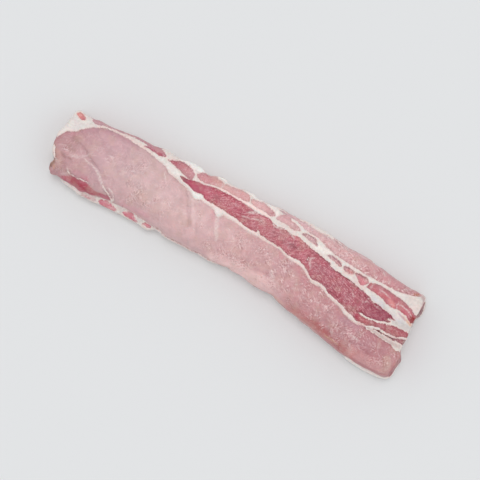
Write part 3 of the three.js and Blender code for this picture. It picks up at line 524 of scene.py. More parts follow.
# Washes on the fat.
FAT_WASHES = [
    ([(150, 12.6, 2), (162, 8, 2.6), (174, 5.4, 3.4), (188, 5, 3.4)], 3, 0.85, FAT_COOL),
    ([(140, 14.4, 1.6), (152, 12.6, 1.6)], 2, 0.7, rgb(222, 218, 222)),
    ([(174, 13.4, 0.7), (180, 11.4, 0.9), (186, 10, 1.2)], 1.1, 0.9, rgb(228, 180, 154)),
    ([(170, 14, 0.6), (174, 12.8, 0.8), (179, 10.8, 0.6)], 0.9, 0.75, rgb(198, 164, 178)),
    ([(164, 10.4, 1.0), (170, 9, 1.4), (176, 7.2, 1.6)], 2, 0.5, rgb(222, 222, 228)),
    ([(-170, 29.6, 0.6), (-150, 30.6, 1.0), (-136, 30, 1.2), (-124, 29.4, 1.0)], 1.4, 0.5, rgb(236, 204, 198)),
    ([(-199, 18, 1.0), (-192, 21.6, 0.8), (-184, 25, 0.6)], 1.4, 0.4, rgb(212, 206, 206)),
    ([(-104, 26, 1.6), (-97, 25.2, 2.2), (-90, 23.8, 1.6)], 1.8, 0.4, rgb(246, 246, 242)),
    ([(-111, 37, 1.0), (-110, 33, 1.2), (-108, 29, 1.2)], 1.2, 0.4, rgb(222, 222, 208)),
    ([(-56, 14, 0.8), (-30, 13.4, 0.8), (-6, 11.2, 0.8), (20, 11, 0.8), (44, 7.8, 0.8), (64, 6.4, 0.8)], 0.9, 0.7, rgb(258, 236, 230)),
    ([(70, 2, 0.8), (84, -1.8, 0.8), (100, -5.6, 0.8), (120, -10, 0.8), (136, -15, 0.8)], 0.9, 0.45, rgb(238, 214, 206)),
    ([(140, -14.6, 1.0), (147, -14, 1.0)], 1.2, 0.8, rgb(226, 178, 176)),
    ([(20, 32, 1.2), (34, 31.6, 1.0), (44, 31.6, 0.8)], 1.2, 0.5, rgb(244, 222, 214)),
    ([(-72, 28.8, 0.8), (-62, 29.8, 0.6)], 1, 0.5, rgb(238, 208, 204)),
    ([(-186, -40.2, 1.0), (-172, -41.6, 1.2), (-156, -42, 1.2)], 1.2, 0.45, rgb(224, 190, 188)),
    ([(176, 30, 6), (184, 30, 6)], 4, 0.4, rgb(228, 212, 204)),
    ([(181, 40.4, 1.0), (185, 38.8, 1.4), (186.6, 36.4, 1.2), (187, 33, 0.8)], 1.3, 0.8, rgb(190, 158, 158)),
    ([(172, -9.6, 0.8), (180, -9, 1.0), (187, -7, 1.4)], 1.2, 0.62, rgb(214, 178, 176)),
    ([(103, 22, 1.0), (112, 22.6, 1.0), (118, 19.6, 1.2), (128, 18, 1.2)], 1.4, 0.55, rgb(238, 206, 200)),
    ([(-166, -41.6, 1.4), (-158, -41.2, 1.8), (-150, -39.6, 1.6)], 1.6, 0.65, rgb(216, 178, 178)),
    ([(-126, -38, 1.6), (-123.6, -36, 1.4)], 1.6, 0.5, rgb(232, 206, 200)),
    ([(-98, -36, 1.4), (-100, -34.6, 1.0)], 1.6, 0.5, rgb(206, 202, 198)),
    ([(-121, -36.4, 1.4), (-120, -34.6, 1.2)], 1.5, 0.6, rgb(208, 204, 200)),
    ([(-88, -34, 1.2), (-80, -34.6, 1.0), (-74, -36, 0.8), (-60, -36.6, 0.8), (-40, -36, 0.8), (-20, -35.4, 0.8)], 1, 0.4, rgb(236, 208, 204)),
    ([(-46, 33.2, 0.9), (-34, 32.8, 0.8), (-20, 33, 0.8), (-4, 32.8, 0.9), (10, 32.6, 0.9)], 1, 0.9, rgb(266, 236, 230)),
    ([(10, 11.4, 0.6), (24, 10.8, 0.7), (34, 10.4, 0.7), (44, 8, 0.6)], 1, 0.55, rgb(222, 212, 198)),
    ([(78, -1.4, 0.8), (88, -1.6, 0.8)], 1, 0.6, rgb(222, 214, 202)),
    ([(150, -13.6, 0.7), (162, -14.4, 1.2), (176, -14.8, 1.4), (187, -15, 1.6)], 1.2, 0.85, rgb(208, 186, 180)),
    # Washes whiter than white along the chine edge: partly the fat's own white, partly painted light that brightens it
    # where the rounded edge turns from the light.
    ([(-95, 38, 1.6), (-80, 38.6, 2.6), (-68, 38.4, 1.6)], 1, 1.0, rgb(256, 258, 252)),
    ([(-54, 42.4, 0.8), (-48, 42.6, 1.4), (-41, 41.4, 0.8)], 1, 1.0, rgb(256, 256, 250)),
    ([(-22, 43.6, 0.8), (-15, 43.4, 1.4), (-9, 42.4, 1.0), (-4, 43, 0.6)], 1, 1.0, rgb(256, 254, 248)),
    ([(4, 42.8, 0.8), (10, 42, 1.6), (15, 40, 1.4), (16, 37, 0.8)], 1, 0.9, rgb(254, 248, 242)),
    ([(-68, 16, 1.4), (-63, 14.4, 2.6), (-58.6, 15.4, 1.4)], 1.2, 0.9, rgb(248, 250, 244)),
    ([(-40, 12.4, 1.6), (-36.6, 10.6, 2.2), (-34.6, 7.6, 1.0)], 1.2, 0.9, rgb(248, 246, 242)),
    ([(64, 29.6, 1.4), (70, 30.6, 2.4), (80, 31, 1.6)], 1.6, 0.9, rgb(252, 248, 240)),
    ([(-208, 19, 2), (-202, 16, 3), (-204, 12, 2)], 2.4, 0.6, rgb(222, 212, 212)),
    ([(-212.6, 4, 1.6), (-211, 10, 1.0)], 1.4, 0.5, rgb(238, 232, 228)),
    ([(-190, -39.6, 0.8), (-178, -41.4, 0.8), (-169, -42.6, 0.8)], 0.8, 0.7, rgb(240, 230, 226)),
]


# The chine wall: fat at its two ends as (u, half-width in mm), and places where the layer of fat under its
# top edge hangs lower as (u, half-width in mm, extra depth, lean). The meat of both walls along u.
WALL_ENDS = [(-205, 10), (187, 7)]
WALL_TONGUES = [
    (-107, 15, 4, 0.3), (-80, 26, 7, 0.4), (-48, 13, 2, -0.3), (-14, 17, 6, 0.4), (12, 12, 1, 0.2),
    (58, 30, 2, 0.0),
]
BELLY_WALL_COLOURS = [
    (-212, rgb(190, 142, 146)), (-150, rgb(196, 148, 153)), (-90, rgb(204, 164, 166)), (-20, rgb(211, 170, 169)),
    (30, rgb(209, 164, 163)), (70, rgb(207, 160, 161)), (92, rgb(205, 158, 161)), (108, rgb(200, 150, 153)),
    (126, rgb(189, 131, 132)), (192, rgb(186, 128, 130)),
]
WALL_COLOURS = [
    (-212, rgb(196, 142, 147)), (-150, rgb(197, 140, 147)), (-100, rgb(194, 128, 137)), (-50, rgb(205, 150, 153)),
    (0, rgb(211, 161, 163)), (60, rgb(212, 169, 171)), (120, rgb(205, 153, 157)), (192, rgb(194, 137, 141)),
]

# Muscles on the cut faces, as (y, z) in mm on a ground of fat; they run out over the rim of the face.
RIB_FACE = [
    ([(-73, 12), (-77, 28), (-75, 64), (-25, 64), (-23.5, 50), (-16, 43), (-4, 37.5), (10, 32.5),
      (26, 28), (40, 23.5), (48, 19), (47, 15.5), (36, 12.5), (14, 10.5), (-14, 10), (-42, 10),
      (-62, 11)], rgb(182, 118, 122)),
    ([(-14.6, 64), (-5.2, 64), (-4.6, 48), (-1, 44), (6, 40), (-2, 41.4), (-9, 44.6), (-13.4, 49)], rgb(176, 120, 122)),
    ([(-2, 64), (4.4, 64), (6, 47), (12, 42), (23, 37), (36, 32), (48, 26.5), (54, 22),
      (52, 18.6), (44, 22.6), (32, 27.6), (19, 32.4), (9, 37), (2.4, 42), (-0.6, 48)], rgb(174, 98, 106)),
    ([(19, 64), (31, 64), (34, 52), (44, 52), (53, 46), (56, 38), (56.5, 31), (53, 26.5), (45, 29),
      (36, 33.8), (26, 38.5), (20, 44)], rgb(150, 74, 82)),
    ([(35, 31), (50, 33), (55, 26), (53, 17), (46, 14), (38, 16), (34, 24)], rgb(142, 72, 80)),
]
CHUMP_FACE = [
    ([(-60, 11), (-64, 28), (-62, 64), (-36, 64), (-33.6, 42), (-27, 29), (-17, 19), (-9, 12),
      (-30, 10)], rgb(178, 120, 118)),
    ([(-32, 64), (4, 64), (8, 46), (16, 40.5), (27, 35), (36, 29), (41, 22.5), (40, 17), (30, 13),
      (12, 11), (-4, 11.5), (-13, 19), (-23, 29), (-30, 41)], rgb(191, 140, 140)),
    ([(35, 64), (45.5, 64), (45.5, 40), (41, 36.5), (36.5, 39), (34.5, 44)], rgb(208, 142, 138)),
    ([(20, 41.4), (28, 38), (36, 32.6), (42, 27.4), (44, 30), (39, 35), (31, 39.6), (24, 43)],
     rgb(190, 120, 124)),
]


# ---------------------------------------------------------------------------------------------
# Helpers
# ---------------------------------------------------------------------------------------------
def smooth(a):
    a = np.clip(a, 0.0, 1.0)
    return a * a * (3.0 - 2.0 * a)


def bell(a):
    return np.exp(-(a * a))


def curve(knots):
    """A smooth function through (x, y) knots that doesn't overshoot them."""
    x, y = np.array(knots, float).T
    h = np.diff(x)
    d = np.diff(y) / h
    m = np.zeros_like(y)
    m[0], m[-1] = d[0], d[-1]
    turn = d[:-1] * d[1:] > 0
    w1, w2 = 2 * h[1:] + h[:-1], h[1:] + 2 * h[:-1]
    inner = np.zeros_like(w1)
    inner[turn] = (w1 + w2)[turn] / (w1[turn] / d[:-1][turn] + w2[turn] / d[1:][turn])
    m[1:-1] = inner

    def value(q):
        q = np.clip(q, x[0], x[-1])
        i = np.clip(np.searchsorted(x, q) - 1, 0, len(h) - 1)
        t = (q - x[i]) / h[i]
        s = 1.0 - t
        return (
            y[i] * (1 + 2 * t) * s * s + m[i] * h[i] * t * s * s
            + y[i + 1] * t * t * (3 - 2 * t) - m[i + 1] * h[i] * t * t * s
        )

    return value


def rounded(points, closed, cuts=5):
    """A smooth line through points; columns after the first two go along."""
    p = np.array(points, float)
    n = len(p)
    i = np.arange(n if closed else n - 1)
    at = (lambda k: p[k % n]) if closed else (lambda k: p[np.clip(k, 0, n - 1)])
    a, b, c, d = at(i - 1), at(i), at(i + 1), at(i + 2)
    t = (np.arange(cuts) / cuts)[:, None, None]
    q = 0.5 * (2 * b + (c - a) * t + (2 * a - 5 * b + 4 * c - d) * t**2 + (3 * b - a - 3 * c + d) * t**3)
    q = q.transpose(1, 0, 2).reshape(-1, p.shape[1])
    return q if closed else np.vstack([q, p[-1:]])


def nearest(line, u, v, reach, closed):
    """Distance to a line and its further columns there, for the points within reach of its box."""
    low, high = line[:, :2].min(0) - reach, line[:, :2].max(0) + reach
    near = np.flatnonzero((u > low[0]) & (u < high[0]) & (v > low[1]) & (v < high[1]))
    pu, pv = u[near], v[near]
    best = np.full(len(near), float(reach) ** 2)
    extra = np.zeros(len(near))
    ends = np.roll(line, -1, 0) if closed else line[1:]
    for a, b in zip(line, ends):
        du, dv = b[0] - a[0], b[1] - a[1]
        t = np.clip(((pu - a[0]) * du + (pv - a[1]) * dv) / max(du * du + dv * dv, 1e-9), 0, 1)
        d = (pu - a[0] - t * du) ** 2 + (pv - a[1] - t * dv) ** 2
        closer = d < best
        best[closer] = d[closer]
        if line.shape[1] > 2:
            extra[closer] = (a[2] + (b[2] - a[2]) * t)[closer]
    return near, np.sqrt(best), extra


def inside(points, u, v, reach=7.0):
    """Signed distance to a closed line: above 0 inside it."""
    line = rounded(points, True)
    near, distance, _ = nearest(line, u, v, reach, True)
    pu, pv = u[near], v[near]
    odd = np.zeros(len(near), bool)
    for a, b in zip(line, np.roll(line, -1, 0)):
        if a[1] == b[1]:
            continue
        crosses = (a[1] > pv) != (b[1] > pv)
        odd ^= crosses & (pu < a[0] + (pv - a[1]) * (b[0] - a[0]) / (b[1] - a[1]))
    out = np.full(len(u), -reach)
    out[near] = np.where(odd, distance, -distance)
    return out


def along(points, u, v, reach=7.0):
    """Signed distance to a stroke with half-widths: above 0 on it."""
    line = rounded(points, False)
    near, distance, width = nearest(line, u, v, reach, False)
    out = np.full(len(u), -reach)
    out[near] = width - distance
    return out


def shape(points, u, v, reach=9.0):
    return along(points, u, v, reach) if len(points[0]) == 3 else inside(points, u, v, reach)


def above(knots, u, v, reach=9.0):
    """Signed distance to a line across the plan: above 0 on its +v side."""
    at = curve(knots)
    fine = np.linspace(knots[0][0], knots[-1][0], 460)
    line = np.stack([fine, at(fine)], 1)
    near, distance, _ = nearest(line, u, v, reach, False)
    far = np.full(len(u), reach)
    far[near] = distance
    return np.where(v > at(u), far, -far)


def rough(p, size, seed):
    """Smooth noise from -1 to 1 with lumps of about `size` mm, at points p."""
    q = p / size
    cell = np.floor(q).astype(np.int64)
    f = q - cell
    f = f * f * f * (f * (f * 6 - 15) + 10)
    total = np.zeros(len(p))
    for k in range(8):
        corner = np.array([k & 1, (k >> 1) & 1, (k >> 2) & 1])
        c = cell + corner
        h = (c[:, 0] * 374761393 + c[:, 1] * 668265263 + c[:, 2] * 1442695041 + seed * 974634777) & 0xFFFFFFFF
        h = ((h ^ (h >> 13)) * 1274126177) & 0xFFFFFFFF
        h = ((h ^ (h >> 16)) * 2246822519) & 0xFFFFFFFF
        value = ((h ^ (h >> 15)) & 0xFFFFFF) / 0x7FFFFF - 1.0
        weight = np.prod(np.where(corner, f, 1 - f), axis=1)
        total += weight * value
    return total


def lumps(p, size, seed, octaves=3):
    total, part = np.zeros(len(p)), 1.0
    for k in range(octaves):
        total += part * rough(p + 17.3 * k, size / 2**k, seed + 31 * k)
        part *= 0.5
    return total


# ---------------------------------------------------------------------------------------------
# The skin of the loin
# ---------------------------------------------------------------------------------------------
def edge(knots, z=EDGE_Z):
    u, v = np.array(knots, float).T
    x, y = to_mm(u, v, z)
    return curve(np.stack([x, y], 1))


chine_edge, belly_edge = edge(CHINE_LINE), edge(BELLY_LINE)


def end(knots, z=12.0):
    v, u = np.array(knots, float).T
    x, y = to_mm(u, v, z)
    return curve(np.stack([y, x], 1)), y[0], y[-1]


chump_end, chump_low, chump_high = end(CHUMP_LINE, 23.0)
rib_end, rib_low, rib_high = end(RIB_LINE)
face = curve(np.stack([np.linspace(-300, 300, len(FACE)), FACE], 1))
eye_seam = edge(EYE_BORDER, 50.0)
chain_seam = curve([(-125, 34), (-75, 47), (-15, 51), (60, 50.5), (115, 43), (160, 32), (205, 26), (245, 17), (300, 7)])


def chump_rim(w):
    return chump_end(chump_low + (chump_high - chump_low) * w) + END_SWELL[0]


def rib_rim(w):
    return rib_end(rib_low + (rib_high - rib_low) * w) - END_SWELL[1]


def bulge(y, low, high):
    across = np.clip((y - low) / np.maximum(1.0, high - low), 0, 1)
    return np.sin(np.pi * across) ** 0.8


def face_height(x, y, w):
    z = face(x) - CHINE_FALL * smooth((w - 0.4) / 0.6)
    low, high = eye_seam(x), chain_seam(x)
    z = z + EYE_BULGE * bulge(y, belly_edge(x), low)
    return z + CHAIN_BULGE * bulge(y, low, high) * smooth((x + 125) / 30)


def rise(distance, reach):
    return np.sqrt(np.maximum(0.0, 1 - (1 - np.clip(distance / reach, 0, 1)) ** 2))


def by_u(knots):
    """Units along u as a function of x in mm."""
    u, size = np.array(knots, float).T
    return curve(np.stack([UNIT * (u + SHIFT_U), UNIT * size], 1))


ledge_width, lip_out = by_u(LEDGE), by_u(CAP_LIP)


def skin(t, w, upper):
    x = chump_rim(w) + (rib_rim(w) - chump_rim(w)) * t
    low, high = belly_edge(x), chine_edge(x)
    y = low + (high - low) * w
    belly = w < 0.5
    inward = np.where(belly, y - low, high - y)
    ledge, lip = ledge_width(x), lip_out(x)
    widest = BELLY_WIDEST + (CHINE_WIDEST - BELLY_WIDEST) * smooth(w) - 4.0 * smooth(ledge / 6.0) * belly
    if upper:
        top = face_height(x, y, w)
        step = np.where(belly, LEDGE_RISE * smooth(ledge / 5.0), 0.0)
        up = step * rise(inward, np.maximum(ledge, 0.5))
        over = rise(np.where(belly, inward - 0.93 * ledge, inward), np.where(belly, BELLY_ROUND, CHINE_ROUND))
        z = widest + up + (top - widest - step) * over
    else:
        z = widest * (1 - rise(inward, np.where(belly, BELLY_UNDER, CHINE_UNDER)))
        # The cut cap sticks out as a lip near the rib end.
        y = y - (lip + 2.7 * smooth(lip)) * bell((z - 8.5) / 4.4) * smooth(1.3 - inward / 12.0) * belly
    return np.stack(np.broadcast_arrays(x, y, z), -1)


def loops(ts):
    """Sections at each t, spaced finely over the face and coarsely underneath."""
    top = 0.5 - 0.5 * np.cos(np.pi * np.linspace(0, 1, 700))
    under = 0.5 - 0.5 * np.cos(np.pi * np.linspace(1, 0, 400))
    t = np.asarray(ts, float)[:, None]
    over, below = skin(t, top[None, :], True), skin(t, under[None, :], False)
    ring = np.concatenate([over, below[:, 1:]], 1)
    step = np.diff(ring, axis=1)
    length = np.linalg.norm(step[..., 1:], axis=2)
    facing = step[..., 1] / np.maximum(length, 1e-9)  # 1 where the skin looks up, -1 where down
    dense = np.where(facing > 0, 0.55 + 0.45 * smooth(facing / 0.7), 0.55 - 0.39 * smooth(-facing / 0.7))
    run = np.concatenate([np.zeros((len(ring), 1)), np.cumsum(length * dense, 1)], 1)
    out = np.empty((len(ring), AROUND, 3))
    for i in range(len(ring)):
        want = np.arange(AROUND) / AROUND * run[i, -1]
        for k in range(3):
            out[i, :, k] = np.interp(want, run[i], ring[i, :, k])
    return out


def cut_end(at_rib):
    """Loops of one cut end, from the middle of its face outwards."""
    radius, swell = END_ROUND[at_rib], END_SWELL[at_rib] * (1 if at_rib else -1)
    found = []
    for k in range(1, CAP_RINGS + RIM_STEPS + 1):
        turn = 1.0 if k <= CAP_RINGS else 1.0 - (k - CAP_RINGS) / RIM_STEPS
        share = 1.0 - k / CAP_RINGS if k <= CAP_RINGS else 0.0
        back = radius * (1 - math.sin(turn * math.pi / 2)) / 600.0
        inset = radius * (1 - math.cos(turn * math.pi / 2))
        ring = loops([1 - back if at_rib else back])[0]
        low, high = ring.min(0), ring.max(0)
        middle, half = (low + high) / 2, (high - low) / 2
        for axis in (1, 2):
            shrink = (1 - inset / half[axis]) * (1 - share)
            ring[:, axis] = middle[axis] + (ring[:, axis] - middle[axis]) * shrink
        if turn == 1.0:
            own = rib_end(ring[:, 1]) - END_SWELL[1] if at_rib else chump_end(ring[:, 1]) + END_SWELL[0]
            ring[:, 0] = own + swell * (1 - (1 - share) ** 2)
        found.append(ring)
    return np.array(found)


chump_rings, rib_rings = cut_end(0), cut_end(1)[::-1]
body = loops(np.linspace(END_ROUND[0] / 600, 1 - END_ROUND[1] / 600, STATIONS + 2)[1:-1])
grid = np.concatenate([chump_rings, body, rib_rings])
ROWS = len(grid)
P = np.concatenate([grid.reshape(-1, 3), [grid[0].mean(0)], [grid[-1].mean(0)]])
COUNT = len(P)


def grid_normals(p):
    g = p[: ROWS * AROUND].reshape(ROWS, AROUND, 3)
    du = np.gradient(g, axis=0)
    dv = np.roll(g, -1, 1) - np.roll(g, 1, 1)
    n = np.cross(du, dv)
    n /= np.maximum(np.linalg.norm(n, axis=2, keepdims=True), 1e-9)
    return np.concatenate([n.reshape(-1, 3), [[-1, 0, 0]], [[1, 0, 0]]])


N0 = grid_normals(P)
turned = N0[(ROWS // 2) * AROUND + AROUND // 3, 2]
N0[:-2] *= np.sign(turned)

lip = lip_out(P[:, 0])
# Its edge bulges a little all the way along.
low_side = smooth(1.2 - np.abs(P[:, 2] - 6.0) / 7.0) * (P[:, 2] < 14)
P[:, 1] += np.sign(P[:, 1]) * 1.3 * low_side * smooth((np.abs(P[:, 1]) - 30) / 10) * np.abs(N0[:, 1])

P[:, 0] += np.where(P[:, 0] > 0, 1.4, -0.3) * low_side * np.clip(np.abs(N0[:, 0]) * 1.5 - 0.5, 0, 1)

# The cut ends lean: the rim of the face lies behind their foot.
v_here = to_drawing(P[:, 0], P[:, 1], P[:, 2])[1]
height = smooth((P[:, 2] - 8.0) / 40.0)
P[:, 0] -= UNIT * curve(RIB_SETBACK)(v_here) * height * smooth((P[:, 0] - 255.0) / 34.0)
P[:, 0] += UNIT * curve(CHUMP_SETBACK)(v_here) * height * smooth((-258.0 - P[:, 0]) / 34.0)

# ---------------------------------------------------------------------------------------------
# Which tissue lies where
# ---------------------------------------------------------------------------------------------
X, Y, Z = P.T
across = np.clip((Y - belly_edge(X)) / (chine_edge(X) - belly_edge(X)), 0, 1)
depth = np.maximum(0.0, face_height(X, Y, across) - Z)
on_end = smooth((np.abs(N0[:, 0]) - 0.35) / 0.35)
looks_up = smooth((grid_normals(P)[:, 2] * np.sign(turned) - 0.04) / 0.14)
on_top = smooth((N0[:, 2] - 0.05) / 0.3)

U, V = to_drawing(X, Y, Z)
# Borders wander a little instead of following the drawn lines exactly.
calm = np.where(Y < 0, 0.2 + 0.8 * smooth(N0[:, 2] / 0.6), 1.0)  # less on the steep belly side
U_IN = U + 0.55 * rough(P * [1, 1, 0.5], 6.5, 51) + 0.3 * rough(P, 3.1, 52)
V_IN = V + calm * (0.45 * rough(P * [1, 1, 0.5], 6.5, 53) + 0.28 * rough(P, 3.1, 54))
# Down the chine wall the tissue of its top edge goes on, ever less evenly.
v_edge = to_drawing(X, chine_edge(X), EDGE_Z)[1]
V_IN = np.where(Y > 0, np.minimum(V_IN, v_edge - 0.3 - 0.05 * depth), V_IN)
U_IN = U_IN + np.where(Y > 0, 1 - on_top, 0.0) * 3.0 * lumps(P * [1, 1, 0.8], 14.0, 55) * smooth(depth / 12.0)
U_IN = U_IN + np.where(Y < 0, 7.0 * lumps(P * [1, 1, 0.9], 34.0, 56) * smooth((depth - 11.0) / 14.0), 0.0)


def cut_face(drawing, y, z):
    """Fat as a signed distance in mm and the meat's colour on one cut face."""
    fat, meat = np.full(len(y), 9.0), np.repeat(drawing[0][1][None], len(y), 0)
    for points, tone in drawing:
        d = inside(points, y, z, 9.0)
        meat = meat + (tone - meat) * smooth((d + 1.2) / 1.8)[:, None]
        fat = np.minimum(fat, -d)
    return fat, meat


def tissue(u, v):
    """Fat as a signed distance in mm, and the colours of meat and fat, at plan points."""
    eye = above(EYE_BORDER, u, v)
    rim = np.where(u < -1, -above(RIM_BORDER, u, v), -9.0)
    rim = np.where(u < -191, -9.0, rim)
    fat = np.maximum(eye, rim)
    meats = {name: inside(points, u, v) for name, points in PATCHES.items()}
    chain, strip = inside(CHAIN, u, v), inside(STRIP, u, v)
    slit = along(SLIT, u, v)
    spots = np.max([inside(points, u, v) for points in RIM_PATCHES], axis=0)
    islands = np.max([*meats.values(), chain, strip, spots, slit], axis=0)
    fat = np.minimum(fat, -islands)
    for points in FAT_AND_GLINT_STROKES:
        fat = np.maximum(fat, along(points, u, v))

    # Colour of the meat
    stops = np.array([s for s, _ in EYE_COLOURS])
    meat = np.stack([curve(np.stack([stops, [c[k] for _, c in EYE_COLOURS]], 1))(u) for k in range(3)], 1)

    def lay(colour, weight):
        nonlocal meat
        meat = meat + (colour - meat) * weight[:, None]

    stops = np.array([s for s, _ in CHAIN_COLOURS])
    dark = np.stack([curve(np.stack([stops, [c[k] for _, c in CHAIN_COLOURS]], 1))(u) for k in range(3)], 1)
    lay(dark, smooth((chain + 1.2) / 1.6))
    lay(STRIP_COLOUR, smooth((strip + 1.0) / 1.4))
    lay(np.where((u > 178)[:, None], rgb(166, 106, 111), rgb(123, 60, 66)), smooth((slit + 0.5) / 0.8))
    for name, d in meats.items():
        us = np.array(PATCHES[name])[:, 0]
        share = smooth((u - us.min()) / (us.max() - us.min()))[:, None]
        first, last = PATCH_COLOURS[name]
        lay(first + (last - first) * share, smooth((d + 1.0) / 1.2))
    lay(np.where((u < -145)[:, None], rgb(214, 156, 166), rgb(217, 127, 144)), smooth((spots + 0.8) / 1.2))
    for points, soft, strength, colour, *fade in WASHES:
        weight = strength * smooth((shape(points, u, v) + soft) / (1.6 * soft))
        if fade:
            weight = weight * smooth((u - fade[0]) / (fade[1] - fade[0]))
        lay(colour, weight)

    # Colour of the fat
    white = np.repeat(FAT_WHITE[None], len(u), 0)
    for points, soft, strength, colour in FAT_WASHES:
        weight = strength * smooth((shape(points, u, v) + soft) / (1.6 * soft))
        white = white + (colour - white) * weight[:, None]

    veil_and_glint = np.zeros(len(u))
    for points, strength in VEILS:
        veil_and_glint = np.maximum(veil_and_glint, strength * smooth((along(points, u, v) + 0.9) / 1.7))
    # The glints are painted highlights, laid into the same weight as the veils.
    for a, b in GLINTS:
        veil_and_glint = np.maximum(veil_and_glint, 0.8 * smooth((along([(*a, 0.1), (*b, 0.1)], u, v, 2.0) + 0.45) / 0.6))
    # Creases are dented, and painted shade darkens their colour.
    crease_shade, dip = np.zeros(len(u)), np.zeros(len(u))
    for points, deep, darker in CREASES:
        weight = smooth((along(points, u, v) + 1.0) / 2.0)
        crease_shade = np.maximum(crease_shade, darker * weight)
        dip = np.maximum(dip, deep * weight)
    return {
        "fat": fat * UNIT, "meat": meat, "white": white, "veil_and_glint": veil_and_glint, "crease_shade": crease_shade, "dip": dip,
        "chain": np.maximum(chain, strip), "patch": np.max(list(meats.values()), axis=0), "slit": slit,
        "eye": eye, "rim": rim, "band": meats["band"], "gap": -islands, "spots": spots,
    }


T = tissue(U_IN, V_IN)

# The cut faces, below their rim
face_weight = on_end * smooth((depth - 2.0) / 4.0)
rim_seen = looks_up * (1 - smooth((depth - 12.0) / 6.0))  # what is seen from above follows the plan
face_weight = np.where(X < 0, face_weight * (1 - rim_seen), on_end * smooth((depth - 0.6) / 2.2))
y_face = Y + 1.6 * lumps(P * [0.3, 1, 1], 9.0, 61)
z_face = Z + 1.3 * lumps(P * [0.3, 1, 1], 8.0, 62)
for drawing, mine in ((RIB_FACE, X > 0), (CHUMP_FACE, X < 0)):
    there = np.flatnonzero(mine & (face_weight > 0))
    fat_here, meat_here = cut_face(drawing, y_face[there], z_face[there])
    w = face_weight[there]
    T["fat"][there] += (fat_here - T["fat"][there]) * w
    T["meat"][there] += (meat_here - T["meat"][there]) * w[:, None]
    T["white"][there] += (FAT_WHITE - T["white"][there]) * w[:, None]
# A rim of fat stands along the chump face where it curves in.
rim_fat = 2.4 - np.abs(depth - 3.0) - 8.0 * smooth((np.abs(V + 18.5) - 4.0) / 4.0)
T["fat"] = np.where((X < 0) & (on_end > 0.1), np.maximum(T["fat"], rim_fat), T["fat"])
for name in ("veil_and_glint", "crease_shade", "dip"):
    T[name] = T[name] * on_top * (1 - on_end)
# Down the chine wall the fat of its top edge goes on as an uneven layer that thins out; its meat is more even.
on_wall = np.where(Y > 0, (1 - on_top) * (1 - on_end), 0.0)
tongues = np.full(COUNT, -9.0)
for number, (at, wide) in enumerate(WALL_ENDS):
    middle = UNIT * (at + SHIFT_U) + 2.4 * rough(P * [0, 0, 1] + 40.0 * number, 11.0, 72)
    tongues = np.maximum(tongues, wide * (1 + 0.3 * rough(P * [0, 0, 1], 7.0, 73)) - np.abs(X - middle))
slanted = P * [1, 0, 0] + depth[:, None] * [0.5, 0, 0]
layer = 14.5 + 5.0 * rough(slanted, 46.0, 75) + 3.2 * lumps(slanted, 17.0, 76) + 1.2 * rough(P * [1, 0, 0.4], 4.5, 79)
for at, wide, extra, lean in WALL_TONGUES:
    layer = layer + extra * bell((X - UNIT * (at + SHIFT_U) + lean * depth) / wide)
held = smooth((U + 128.0) / 16.0) * smooth((88.0 - U) / 16.0)
layer = layer * held - 8.0 * (1 - held)
tongues = np.maximum(tongues, 0.5 * (layer - depth))
membrane = held * smooth((depth - layer + 7.0) / 7.0) * (1 - smooth((depth - layer - 1.0) / 9.0))
lower = on_wall * smooth((depth - 3.0) / 7.0)
below = np.where(Y > 0, np.maximum(lower, smooth((depth - 10.0) / 5.0) * (1 - on_end)), 0.0)
T["fat"] += (np.clip(tongues, -9.0, 9.0) - np.clip(T["fat"], -9.0, 9.0)) * below


def run_of(colours):
    stops = np.array([at for at, _ in colours])
    return np.stack([curve(np.stack([stops, [c[k] for _, c in colours]], 1))(U) for k in range(3)], 1)


T["meat"] += (run_of(WALL_COLOURS) - T["meat"]) * (0.8 * lower)[:, None]
# The steep foot of the belly side has its own even meat, and no spots in its fat.
steep = np.where(Y < 0, (1 - smooth(N0[:, 2] / 0.36)) * (1 - on_end), 0.0)
T["meat"] += (run_of(BELLY_WALL_COLOURS) - T["meat"]) * (0.85 * steep)[:, None]
hidden = np.where(Y < 0, 1 - smooth((N0[:, 2] + 0.12) / 0.16), 0.0) * smooth((T["spots"] + 2.5) / 1.5)
T["fat"] += (np.maximum(T["fat"], 1.8) - T["fat"]) * hidden
T["veil_and_glint"] = np.maximum(T["veil_and_glint"], 0.4 * lower * smooth(0.9 * lumps(P * [0.3, 1, 1.2], 9.0, 74) - 0.1))
T["veil_and_glint"] = np.maximum(T["veil_and_glint"], 0.5 * on_wall * membrane * smooth(0.6 + lumps(P * [1, 1, 0.25], 5.0, 78)))
# Crumbs of fat on the chine corner of the rib end.
crumbs = 3.4 * (lumps(P * [1, 1, 0.4], 5.0, 77) - 0.8) - 6.0 * smooth((44.0 - Y) / 8.0) - 6.0 * smooth((22.0 - Z) / 6.0)
T["fat"] = np.where((X > 0) & (face_weight > 0.4), np.maximum(T["fat"], crumbs), T["fat"])

# On the steep foot of the eye at the chump half, the fat of the ledge ends in an even edge.
foot = np.where(Y < 0, (1 - smooth((N0[:, 2] - 0.2) / 0.35)) * (1 - on_end), 0.0)
foot = foot * smooth((U + 194.0) / 10.0) * smooth((-70.0 - U) / 14.0) * (1 - bell((U + 134.5) / 4.5))
edge_z = 27.0 + 1.9 * lumps(P * [1, 0.3, 0.3], 15.0, 81)
for name in ("crease_shade", "dip"):
    T[name] = T[name] * np.where(Y < 0, smooth((N0[:, 2] - 0.3) / 0.35), 1.0)
T["fat"] += (np.clip(0.8 * (edge_z - Z), -5.0, 5.0) - np.clip(T["fat"], -5.0, 5.0)) * foot * smooth((Z - 17.0) / 4.0)

